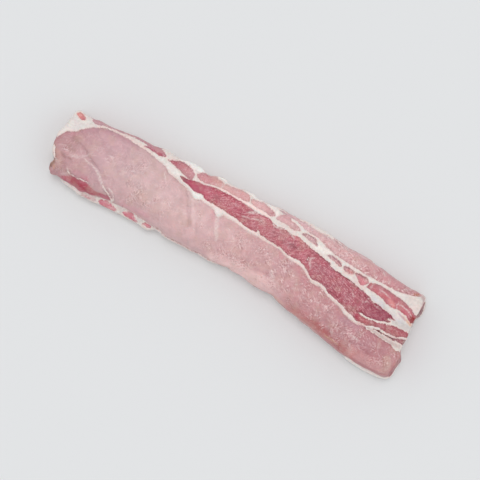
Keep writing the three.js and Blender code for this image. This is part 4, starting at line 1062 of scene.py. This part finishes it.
# The fat cap: all of the underside, and the foot of the sides and ends.
T["white"] += (FAT_WHITE - T["white"]) * smooth((-0.1 - N0[:, 2]) / 0.3)[:, None]
half = np.clip(np.abs(Y - 2.0) / 66.0, 0, 1.2)
cap_height = 6.5 + 4.5 * half**2 + np.where(Y > 0, 3.5, 0.6) * smooth((half - 0.55) / 0.35)
cap_height = cap_height + 1.7 * lumps(P * [1, 1, 0.4], 30.0, 11) + 0.7 * rough(P, 8.0, 12)
cap_height = cap_height + np.minimum(lip, 3.0) * 1.2 * (Y < 0)
# It reaches higher up the belly side of the chump half and runs out towards the middle.
cap_height = cap_height + np.where(Y < 0, 6.0 * smooth((U + 195.0) / 14.0) * smooth((32.0 - U) / 52.0), 0.0)
cap = cap_height - Z
# A thin streak of lean runs through the cap in places.
streak_at = 0.5 * cap_height + 1.4 * rough(P * [1, 1, 0], 40.0, 14)
streak = np.where(Y > 0, 0.9, 0.3) + 1.3 * rough(P * [1, 1, 0.2], 34.0, 15) - np.abs(Z - streak_at)
streak = np.where((Z > 1.5) & (np.abs(N0[:, 2]) < 0.75), streak, -6.0)
cap_fat = np.minimum(cap, -streak)
cap_fat = cap_fat - 4.5 * smooth((T["spots"] + 0.3) / 0.8) * np.where(Y < 0, smooth((N0[:, 2] + 0.1) / 0.1), 0.0)
side = 1 - on_top * (1 - on_end)
FAT = np.maximum(T["fat"], np.where(Z < 24, cap_fat, -9.0))
in_cap = smooth((cap + 1.0) / 2.0)

# ---------------------------------------------------------------------------------------------
# Relief
# ---------------------------------------------------------------------------------------------
N = N0.copy()
top = on_top * (1 - on_end)
islands_in = np.maximum(T["patch"], 0) * UNIT
relief = 0.55 * smooth((FAT + 0.7) / 1.6) * np.where(T["eye"] > -2.5, 1.0, 0.5)
relief = relief - 0.55 * bell(FAT / 0.9) * (np.abs(FAT) < 4)
relief = relief - 0.75 * smooth(islands_in / 3.0)
relief = relief + 0.7 * smooth(T["chain"] * UNIT / 6.0)
relief = relief - 1.6 * smooth((T["slit"] + 0.4) / 1.0)
relief = relief - T["dip"]
busy = 0.42 + 0.58 * smooth((U + 60.0) / 60.0)  # the rib half is more broken up
meatness = 1 - smooth((FAT + 0.4) / 0.8)
relief = relief + 0.55 * lumps(P, 34.0, 21) + 0.2 * busy * lumps(P, 9.0, 22) * (0.4 + 0.6 * meatness)
relief = relief + 0.11 * busy * meatness * rough(P, 3.4, 23)
fibre_way = np.radians(np.where(T["chain"] > -0.5, 14.0, -38.0))
fs = X * np.cos(fibre_way) + Y * np.sin(fibre_way)
ft = -X * np.sin(fibre_way) + Y * np.cos(fibre_way)
fibres = np.stack([fs * 0.22, ft, Z], 1)
relief = relief + 0.2 * rough(fibres, 2.6, 24) * smooth((T["chain"] + 0.3) / 0.8)
on_side = 1 - on_top
relief = relief + on_side * (0.5 * lumps(P * [1, 1, 0.6], 18.0, 25) - 0.8 * bell(cap / 1.3) * (Z > 2))
quiet_foot = smooth(Z / 3.0)  # the foot lies flat
P = P + N * (relief * (0.25 + 0.75 * quiet_foot) * np.where(Z < 1.5, 0.12, 1.0))[:, None]
# The sharpest folds of the skin ease out.
skin_grid = P[: ROWS * AROUND].reshape(ROWS, AROUND, 3).copy()
for _ in range(14):
    way = np.cross(skin_grid[1:] - skin_grid[:-1], (np.roll(skin_grid, -1, 1) - skin_grid)[:-1])
    way /= np.maximum(np.linalg.norm(way, axis=2, keepdims=True), 1e-9)
    around = np.clip((0.65 - np.roll((way * np.roll(way, -1, 1)).sum(-1), 1, 1)) / 0.4, 0, 1)
    length = np.clip((0.65 - (way[1:] * way[:-1]).sum(-1)) / 0.4, 0, 1)
    sharp = np.zeros((ROWS, AROUND))
    sharp[:-1] = around
    sharp[1:] = np.maximum(sharp[1:], around)
    sharp[1:-1] = np.maximum(sharp[1:-1], np.maximum(length, np.roll(length, 1, 1)))
    sharp = np.maximum(sharp, 0.7 * np.maximum(np.roll(sharp, 1, 1), np.roll(sharp, -1, 1)))
    sharp[1:-1] = np.maximum(sharp[1:-1], 0.7 * np.maximum(sharp[:-2], sharp[2:]))
    sharp[0] = sharp[-1] = 0
    even_out = (np.roll(skin_grid, 1, 1) + np.roll(skin_grid, -1, 1)) / 2
    even_out[1:-1] = (even_out[1:-1] + (skin_grid[:-2] + skin_grid[2:]) / 2) / 2
    skin_grid += (even_out - skin_grid) * (0.5 * sharp * (skin_grid[..., 2] > 1.0))[..., None]
P[: ROWS * AROUND] = skin_grid.reshape(-1, 3)
P[:, 2] = np.maximum(P[:, 2], 0.0)
P[:, 2] -= P[:, 2].min()

# ---------------------------------------------------------------------------------------------
# Colours on the mesh
# ---------------------------------------------------------------------------------------------
MEAT, WHITE = T["meat"], T["white"]


def tint(base, colour, weight):
    return base + (colour - base) * np.clip(weight, 0, 1)[:, None]


# Cut ends are darker and redder than the face: partly the darker cut surface, partly painted shade, as they face
# sideways from the light; walls a little darker and redder.
wall = (1 - on_top) * (1 - on_end)
MEAT = tint(MEAT, MEAT * np.array([0.88, 0.78, 0.78]), on_end * 0.7)
MEAT = tint(MEAT, MEAT * np.array([0.93, 0.84, 0.84]), wall * 0.8)
MEAT = tint(MEAT, rgb(192, 120, 126), in_cap * 0.7)
rim_shade = smooth((T["fat"] + 4.2) / 4.2)  # meat darkens towards the fat
MEAT = MEAT * (1 - 0.07 * rim_shade)[:, None]
# Painted shade darkens the creases.
MEAT = MEAT * (1 - T["crease_shade"])[:, None]
in_dark = smooth((T["chain"] + 0.3) / 0.8) * (1 - on_end)
GLOW = 0.022 + 0.034 * in_dark  # what gloss and pale threads add
MEAT = np.maximum((MEAT - GLOW[:, None]) * np.array([1.0, 0.965, 0.965]), 0.01)
MEAT[:, 0] *= 1 + 0.03 * in_dark
WHITE = tint(WHITE, FAT_CREAM, smooth((cap + 2.0) / 3.0) * 0.75)
WHITE = tint(WHITE, FAT_PINK * np.array([0.95, 0.86, 0.86]), in_cap * 0.6 * smooth(0.5 + lumps(P, 22.0, 33)))
WHITE = tint(WHITE, FAT_PINK, 0.35 * smooth(0.3 + 0.8 * lumps(P, 14.0, 34)))
# The lip of the cap on the belly side is painted near white: partly its own white fat, partly painted light that
# brightens it on the shaded side.
lip_white_and_painted_light = smooth((lip + 0.8 * lumps(P, 12.0, 82)) / 1.8) * bell((Z - 10.0) / 5.0) * smooth((-30.0 - Y) / 14.0)
WHITE = tint(WHITE, rgb(252, 247, 242), 0.85 * lip_white_and_painted_light * in_cap)
WHITE = WHITE * np.array([0.95, 0.93, 0.93])

on_flat = smooth((N0[:, 2] - 0.25) / 0.45)
# Where the torn texture shows, in the relief and in the colour; its pale and dark strokes are partly the fibres' own
# tone and partly painted highlights and painted shade of their wet relief.
FLECK_AND_GLINT = np.clip(busy * meatness * (1 - 0.8 * on_end), 0, 1) * (0.35 + 0.65 * on_flat)
FLECK_AND_GLINT = FLECK_AND_GLINT * (1 - 0.15 * smooth((T["patch"] + 0.4) / 0.8) * (1 - 0.7 * smooth((T["band"] + 0.4) / 0.8)))
DARK_HERE = smooth((T["chain"] + 0.3) / 0.8)
torn = np.max([bell(np.hypot(U - a, V - b) / r) for a, b, r in TORN], axis=0)
on_big_eye = (1 - smooth((T["patch"] + 0.6) / 1.0)) * (1 - DARK_HERE)
FLECK_AND_GLINT = FLECK_AND_GLINT * (1 + on_big_eye * (np.minimum(0.5 + 1.1 * torn, 1.35) * np.where(U < -60, 1.5, 1.0) - 1))
SPECKS_AND_GLINTS = np.clip(torn * on_big_eye * np.where(U < -60, 0.7, 1.0) + 0.5 * smooth((T["patch"] + 0.2) / 0.8), 0, 1)
SPECKS_AND_GLINTS = np.maximum(SPECKS_AND_GLINTS, 0.5 * DARK_HERE * smooth((U + 62.0) / 10.0) * (1 - smooth((U - 136.0) / 10.0)))
SPECKS_AND_GLINTS = SPECKS_AND_GLINTS * meatness * on_flat * (1 - on_end)
# The last patch and both tips of the chain muscle are smoother.
tenth = smooth((T["patch"] + 0.6) / 0.8) * smooth((U - 127.0) / 3.0) * smooth((30.0 - V) / 1.5)
even = np.maximum(0.65 * tenth, DARK_HERE * np.maximum(0.85 * smooth((-56.0 - U) / 8.0), 0.5 * smooth((U - 138.0) / 10.0)))
even = np.maximum(even, bell(np.hypot(U - 185.6, V - 15.0) / 3.6))
FLECK_AND_GLINT, SPECKS_AND_GLINTS = FLECK_AND_GLINT * (1 - even), SPECKS_AND_GLINTS * (1 - even)
FLECK_AND_GLINT = FLECK_AND_GLINT * (1 + 0.5 * smooth((T["band"] + 0.4) / 0.8) * smooth((U - 60.0) / 30.0))
FLECK_AND_GLINT = FLECK_AND_GLINT * (1 - 0.2 * on_big_eye * smooth((U - 112.0) / 10.0))
# On its eye side the main seam fades out softly.
SOFT = smooth((T["gap"] - T["eye"]) / 2.4 + 0.5) * (0.3 + 0.7 * smooth((U + 80.0) / 8.0)) * (1 - 0.2 * smooth((U - 58.0) / 14.0))
SOFT = SOFT * (1 - smooth((U - 140.0) / 10.0)) * on_top * (np.abs(T["eye"]) < 5.0)
SOFT = SOFT * (1 - 0.8 * bell(np.hypot(U + 63.0, V - 14.0) / 6.0)) * (1 - 0.7 * bell(np.hypot(U + 37.0, V - 10.0) / 6.0))
SOFT = np.maximum(SOFT, 0.45 * bell(np.hypot(U - 166.0, (V - 5.0) * 1.3) / 8.0) * on_top)  # the chain muscle's tip
SOFT = np.maximum(SOFT, 0.5 * smooth((T["spots"] + 1.6) / 1.6) * on_top)
SOFT = np.maximum(SOFT, 0.9 * below)
SOFT = np.maximum(SOFT, 0.4 * bell((T["patch"] + 0.4) / 1.2) * on_top)
SOFT = np.maximum(SOFT, 0.5 * bell(T["chain"] / 1.2) * smooth((V - 24.0) / 3.0) * smooth((8.0 - U) / 8.0) * on_top)
DARK = smooth((T["chain"] + 0.3) / 0.8) * (1 - on_end)
DARK = DARK * (0.25 + 0.75 * smooth((U + 62.0) / 12.0)) * (1 + 0.15 * smooth((U - 30.0) / 20.0))
DARK = DARK * (1 - 0.45 * smooth((U - 138.0) / 10.0))
TURN = smooth((U - 62.0) / 30.0)  # the chain muscle's fibres turn along its length
RAGGED = 1.1 + 1.2 * smooth((T["rim"] + 1.0) / 2.0) * smooth((N0[:, 2] - 0.45) / 0.35) + 0.4 * in_cap

# ---------------------------------------------------------------------------------------------
# Mesh
# ---------------------------------------------------------------------------------------------
i, j = np.meshgrid(np.arange(ROWS - 1), np.arange(AROUND), indexing="ij")
k = (j + 1) % AROUND
quads = np.stack([i * AROUND + j, i * AROUND + k, (i + 1) * AROUND + k, (i + 1) * AROUND + j], -1).reshape(-1, 4)
ring = np.arange(AROUND)
after = (ring + 1) % AROUND
last = (ROWS - 1) * AROUND
first_fan = np.stack([np.full(AROUND, COUNT - 2), after, ring], 1)
last_fan = np.stack([np.full(AROUND, COUNT - 1), last + ring, last + after], 1)
a, b, c, d = (P[quads[:, m]] for m in range(4))
held_volume = (np.cross(a, b) * c).sum() + (np.cross(a, c) * d).sum()
for fan in (first_fan, last_fan):
    held_volume += (np.cross(P[fan[:, 0]], P[fan[:, 1]]) * P[fan[:, 2]]).sum()
if held_volume < 0:  # all faces look outwards
    quads, first_fan, last_fan = quads[:, ::-1], first_fan[:, ::-1], last_fan[:, ::-1]

mesh = bpy.data.meshes.new("loin_meat")
mesh.vertices.add(COUNT)
mesh.vertices.foreach_set("co", (P / 1000.0).ravel())
corner_index = np.concatenate([quads.ravel(), first_fan.ravel(), last_fan.ravel()])
sizes = np.concatenate([np.full(len(quads), 4), np.full(2 * AROUND, 3)])
mesh.loops.add(len(corner_index))
mesh.loops.foreach_set("vertex_index", corner_index)
mesh.polygons.add(len(sizes))
mesh.polygons.foreach_set("loop_start", np.concatenate([[0], np.cumsum(sizes)[:-1]]))
mesh.polygons.foreach_set("loop_total", sizes)
mesh.polygons.foreach_set("use_smooth", np.ones(len(sizes), bool))
mesh.update(calc_edges=True)
mesh.validate()


def store(name, kind, values):
    layer = mesh.attributes.new(name, kind, "POINT")
    if kind == "FLOAT":
        layer.data.foreach_set("value", np.ascontiguousarray(values, np.float32))
    elif kind == "FLOAT_VECTOR":
        layer.data.foreach_set("vector", np.ascontiguousarray(values, np.float32).ravel())
    else:
        rgba = np.ones((COUNT, 4), np.float32)
        rgba[:, :3] = values
        layer.data.foreach_set("color", rgba.ravel())


store("fat", "FLOAT", FAT)
store("veil_and_glint", "FLOAT", T["veil_and_glint"] * meatness)
store("fleck_and_glint", "FLOAT", FLECK_AND_GLINT)
store("dark", "FLOAT", DARK)
store("cut", "FLOAT", on_end)
store("turn", "FLOAT", TURN)
store("ragged", "FLOAT", RAGGED)
store("soft", "FLOAT", SOFT)
store("specks_and_glints", "FLOAT", SPECKS_AND_GLINTS)
store("meat_colour", "FLOAT_COLOR", np.clip(MEAT, 0, 1))
store("fat_colour", "FLOAT_COLOR", np.clip(WHITE, 0, 1))

loin = bpy.data.objects.new("loin_meat", mesh)
bpy.context.scene.collection.objects.link(loin)

# ---------------------------------------------------------------------------------------------
# Material
# ---------------------------------------------------------------------------------------------
material = bpy.data.materials.new("raw_pork")
material.use_nodes = True
nodes, links = material.node_tree.nodes, material.node_tree.links
nodes.clear()


def put(socket, value):
    if isinstance(value, bpy.types.NodeSocket):
        links.new(value, socket)
    else:
        socket.default_value = value


def attribute(name, output):
    node = nodes.new("ShaderNodeAttribute")
    node.attribute_name = name
    return node.outputs[output]


def calc(operation, a, b=0.0, clamp=False):
    node = nodes.new("ShaderNodeMath")
    node.operation, node.use_clamp = operation, clamp
    put(node.inputs[0], a)
    put(node.inputs[1], b)
    return node.outputs[0]


def ramp(value, low, high, to_low=0.0, to_high=1.0):
    node = nodes.new("ShaderNodeMapRange")
    node.interpolation_type = "SMOOTHSTEP"
    for name, number in (("Value", value), ("From Min", low), ("From Max", high), ("To Min", to_low), ("To Max", to_high)):
        put(node.inputs[name], number)
    return node.outputs[0]


def mix(weight, a, b, blend="MIX"):
    node = nodes.new("ShaderNodeMix")
    node.data_type, node.blend_type, node.clamp_factor = "RGBA", blend, True
    put(node.inputs[0], weight)
    put(node.inputs[6], a)
    put(node.inputs[7], b)
    return node.outputs[2]


def noise(vector, scale, detail=2.0, roughness=0.5, distortion=0.0):
    node = nodes.new("ShaderNodeTexNoise")
    node.noise_dimensions = "3D"
    put(node.inputs["Vector"], vector)
    for name, number in (("Scale", scale), ("Detail", detail), ("Roughness", roughness), ("Distortion", distortion)):
        put(node.inputs[name], number)
    return node.outputs[0]


def colour(c):
    return (float(c[0]), float(c[1]), float(c[2]), 1.0)


def grey(value):
    node = nodes.new("ShaderNodeCombineColor")
    for k in range(3):
        put(node.inputs[k], value)
    return node.outputs[0]


geometry = nodes.new("ShaderNodeTexCoord")
scaled = nodes.new("ShaderNodeVectorMath")
scaled.operation = "SCALE"
put(scaled.inputs[0], geometry.outputs["Object"])
scaled.inputs["Scale"].default_value = 1000.0
place = scaled.outputs[0]  # mm

fat_depth = attribute("fat", "Fac")
fleck_and_glint, dark, cut, veil_and_glint, turn, raggedness, soft_side, specks_and_glints = (
    attribute(name, "Fac") for name in ("fleck_and_glint", "dark", "cut", "veil_and_glint", "turn", "ragged", "soft", "specks_and_glints")
)
meat, white = attribute("meat_colour", "Color"), attribute("fat_colour", "Color")


def drawn_out(degrees, length, width, shift=0.0):
    """Places in cells of length by width mm, turned by an angle in the plan."""
    node = nodes.new("ShaderNodeMapping")
    node.vector_type = "TEXTURE"
    put(node.inputs["Vector"], place)
    node.inputs["Location"].default_value = (shift, -shift, 0.0)
    node.inputs["Rotation"].default_value = (0.0, 0.0, math.radians(degrees))
    node.inputs["Scale"].default_value = (length, width, width)
    return node.outputs[0]


def blend(weight, a, b):
    node = nodes.new("ShaderNodeMix")
    node.data_type = "FLOAT"
    put(node.inputs[0], weight)
    put(node.inputs[2], a)
    put(node.inputs[3], b)
    return node.outputs[0]


# Edges of the fat, ragged
fine_edge = calc("SUBTRACT", noise(place, 0.62, 2.0, 0.6), 0.5)
wavy = calc("SUBTRACT", noise(place, 0.24, 1.0), 0.5)
wander = calc("ADD", calc("MULTIPLY", fine_edge, 3.0), calc("MULTIPLY", wavy, 2.2))
fat_edge = calc("ADD", fat_depth, calc("MULTIPLY", wander, raggedness))
is_fat = ramp(
    fat_edge, calc("SUBTRACT", -0.55, calc("MULTIPLY", soft_side, 1.9)), calc("ADD", 0.55, calc("MULTIPLY", soft_side, 0.5))
)

# Meat: mottling in light and in hue
mottle = noise(place, 0.085, 2.0, 0.5)
meat = mix(1.0, meat, grey(ramp(mottle, 0.3, 0.7, 0.925, 1.065)), "MULTIPLY")
hue = noise(place, 0.06, 1.5, 0.5)
meat = mix(calc("MULTIPLY", ramp(hue, 0.52, 0.66), 0.24), meat, colour(rgb(206, 172, 158)))
meat = mix(calc("MULTIPLY", ramp(hue, 0.48, 0.34), 0.14), meat, colour(rgb(208, 160, 169)))

# Pale strokes and dark pits of torn fibres, in three directions, each in its own areas: partly the fibres' own tone,
# partly painted highlights and painted shade of their wet relief
light, pits_and_shade, ridges = 0.0, 0.0, 0.0
for degrees, length, width, shift in ((-42, 6.5, 2.0, 3.0), (27, 5.5, 1.9, 41.0), (82, 4.6, 1.8, 87.0)):
    strokes = noise(drawn_out(degrees, length, width, shift), 1.0, 1.5, 0.55)
    area = ramp(noise(drawn_out(0.0, 19.0, 15.0, shift * 3 + 11), 1.0, 1.0), 0.47, 0.60)
    area = calc("MULTIPLY", area, fleck_and_glint)
    light = calc("MAXIMUM", light, calc("MULTIPLY", ramp(strokes, 0.54, 0.66), area))
    pits_and_shade = calc("MAXIMUM", pits_and_shade, calc("MULTIPLY", ramp(strokes, 0.45, 0.33), area))
    ridges = calc("ADD", ridges, calc("MULTIPLY", strokes, area))
on_eye = calc("SUBTRACT", 1.0, calc("MULTIPLY", dark, 0.75))
light, pits_and_shade = calc("MULTIPLY", light, on_eye), calc("MULTIPLY", pits_and_shade, on_eye)
meat = mix(calc("MULTIPLY", light, 0.56), meat, colour(rgb(240, 212, 210)))
meat = mix(calc("MULTIPLY", pits_and_shade, 0.62), meat, mix(1.0, meat, colour((0.73, 0.59, 0.58)), "MULTIPLY"))

# Fine pale and dark specks where the fibres are torn: partly their own tone, partly painted highlights and painted
# shade
grain = noise(place, 0.5, 1.0, 0.5)
meat = mix(calc("MULTIPLY", calc("MULTIPLY", ramp(grain, 0.57, 0.70), specks_and_glints), 0.6), meat, colour(rgb(244, 216, 213)))
pitted_and_shaded = calc("MULTIPLY", calc("MULTIPLY", ramp(grain, 0.43, 0.30), specks_and_glints), 0.7)
meat = mix(pitted_and_shaded, meat, mix(1.0, meat, colour((0.72, 0.58, 0.57)), "MULTIPLY"))

# Fibres of the dark chain muscle
threads = blend(
    turn, noise(drawn_out(27, 8.5, 1.9), 1.0, 2.5, 0.6), noise(drawn_out(-20, 8.0, 2.0, 19.0), 1.0, 2.5, 0.6)
)
crossed = noise(drawn_out(65, 4.0, 1.7, 7.0), 1.0, 2.0, 0.6)
threaded = ramp(noise(place, 0.05, 1.0), 0.42, 0.58, 0.45, 1.1)  # in some areas more than in others
thread_light = calc("MULTIPLY", calc("MULTIPLY", ramp(threads, 0.52, 0.72), dark), threaded)
thread_dark = calc("MULTIPLY", ramp(threads, 0.48, 0.28), dark)
cross_light = calc("MULTIPLY", ramp(crossed, 0.58, 0.72), dark)
meat = mix(calc("MULTIPLY", thread_light, 0.66), meat, colour(rgb(232, 180, 184)))
meat = mix(calc("MULTIPLY", cross_light, 0.5), meat, colour(rgb(230, 178, 182)))
meat = mix(calc("MULTIPLY", thread_dark, 0.95), meat, mix(1.0, meat, colour((0.62, 0.40, 0.44)), "MULTIPLY"))

# Marbling on the cut faces
vein = calc("ABSOLUTE", calc("SUBTRACT", noise(place, 0.085, 3.0, 0.62, 0.6), 0.5))
marbling = calc("MULTIPLY", ramp(vein, 0.038, 0.004), ramp(noise(place, 0.05, 1.0), 0.44, 0.62))
meat = mix(calc("MULTIPLY", calc("MULTIPLY", marbling, cut), 0.36), meat, colour(rgb(230, 200, 194)))
dots = ramp(noise(place, 0.8, 2.0, 0.6), 0.35, 0.65, 0.9, 1.08)
meat = mix(cut, meat, mix(1.0, meat, grey(dots), "MULTIPLY"))

border = calc("MULTIPLY", ramp(fat_edge, -2.0, -0.7), ramp(noise(place, 0.35, 2.0, 0.6), 0.42, 0.62, 0.1, 0.75))
meat = mix(border, meat, mix(1.0, meat, colour((0.70, 0.60, 0.57)), "MULTIPLY"))
# Whitish veils of membrane and fat, and the painted highlights of the glints, which share this weight.
broken = ramp(noise(place, 0.42, 3.0, 0.65), 0.36, 0.62, 0.25, 1.2)
meat = mix(calc("MULTIPLY", veil_and_glint, broken), meat, colour(rgb(234, 218, 213)))

# Fat: faint lobes, their colour painted a little greyer and lighter in turn as painted shade and light, and pinkish
# stains
lobes_and_shade = noise(place, 0.3, 3.0, 0.6)
white = mix(1.0, white, grey(ramp(lobes_and_shade, 0.3, 0.7, 0.90, 1.05)), "MULTIPLY")
stain = calc("MULTIPLY", ramp(noise(place, 0.16, 3.0, 0.6), 0.54, 0.72), 0.26)
white = mix(stain, white, colour(rgb(236, 206, 200)))
near_meat = calc("MULTIPLY", ramp(fat_edge, 1.9, 0.2), 0.42)
white = mix(near_meat, white, colour(rgb(246, 212, 207)))
surface = mix(is_fat, meat, white)

# Fine relief
height_map = calc("MULTIPLY", threads, calc("MULTIPLY", dark, 1.4))
height_map = calc("ADD", height_map, calc("MULTIPLY", ridges, 1.6))
height_map = calc("ADD", height_map, calc("MULTIPLY", is_fat, 0.5))
height_map = calc("ADD", height_map, calc("MULTIPLY", lobes_and_shade, 0.9))
bump = nodes.new("ShaderNodeBump")
bump.inputs["Strength"].default_value = 0.55
bump.inputs["Distance"].default_value = 0.0005
put(bump.inputs["Height"], height_map)

gloss = noise(place, 0.2, 3.0, 0.6)
roughness = calc("ADD", ramp(gloss, 0.3, 0.7, 0.34, 0.52), calc("MULTIPLY", is_fat, 0.05))

shader = nodes.new("ShaderNodeBsdfPrincipled")
put(shader.inputs["Base Color"], surface)
put(shader.inputs["Roughness"], roughness)
put(shader.inputs["Normal"], bump.outputs[0])
shader.inputs["IOR"].default_value = 1.4
shader.inputs["Specular IOR Level"].default_value = 0.5
shader.inputs["Subsurface Weight"].default_value = 0.12
shader.inputs["Subsurface Radius"].default_value = (1.0, 0.35, 0.25)
shader.inputs["Subsurface Scale"].default_value = 0.003
shader.inputs["Coat Weight"].default_value = 0.12
shader.inputs["Coat Roughness"].default_value = 0.18
out = nodes.new("ShaderNodeOutputMaterial")
links.new(shader.outputs[0], out.inputs["Surface"])
mesh.materials.append(material)

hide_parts("pork_loin")
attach(loin, "root")

# ---------------------------------------------------------------------------------------------
# Stage: a plain pale floor, soft light, and the camera straight above
# ---------------------------------------------------------------------------------------------
scene = bpy.context.scene
floor_mesh = bpy.data.meshes.new("floor")
R = 40.0
floor_mesh.from_pydata([(-R, -R, 0), (R, -R, 0), (R, R, 0), (-R, R, 0)], [], [(0, 1, 2, 3)])
floor = bpy.data.objects.new("floor", floor_mesh)
scene.collection.objects.link(floor)
floor_material = bpy.data.materials.new("floor")
floor_material.use_nodes = True
plain = floor_material.node_tree.nodes["Principled BSDF"]
plain.inputs["Base Color"].default_value = (0.7755, 0.779, 0.7817, 1.0)
plain.inputs["Roughness"].default_value = 0.8
plain.inputs["Specular IOR Level"].default_value = 0.1
floor_mesh.materials.append(floor_material)

world = bpy.data.worlds.new("studio")
scene.world = world
world.use_nodes = True
world.node_tree.nodes["Background"].inputs["Color"].default_value = (0.97, 0.985, 1.0, 1.0)
world.node_tree.nodes["Background"].inputs["Strength"].default_value = 0.785

# One wide soft light from above, a little from the chine side and the chump end
sun = bpy.data.lights.new("softbox", "SUN")
sun.energy, sun.angle = 0.72, math.radians(30)
lamp = bpy.data.objects.new("softbox", sun)
lamp.rotation_euler = (math.radians(-14), math.radians(-8), 0.0)
scene.collection.objects.link(lamp)

lens = bpy.data.cameras.new("camera")
lens.sensor_width = 36.0
lens.lens = 36.0 * (EYE_Z - DRAWN_Z) / (480 * UNIT)
lens.clip_end = 200.0
camera = bpy.data.objects.new("camera", lens)
camera.location = (EYE_X / 1000, EYE_Y / 1000, EYE_Z / 1000)
camera.rotation_euler = (0.0, 0.0, math.radians(30.08))
scene.collection.objects.link(camera)
scene.camera = camera
scene.view_settings.view_transform = "Standard"
scene.view_settings.look = "None"
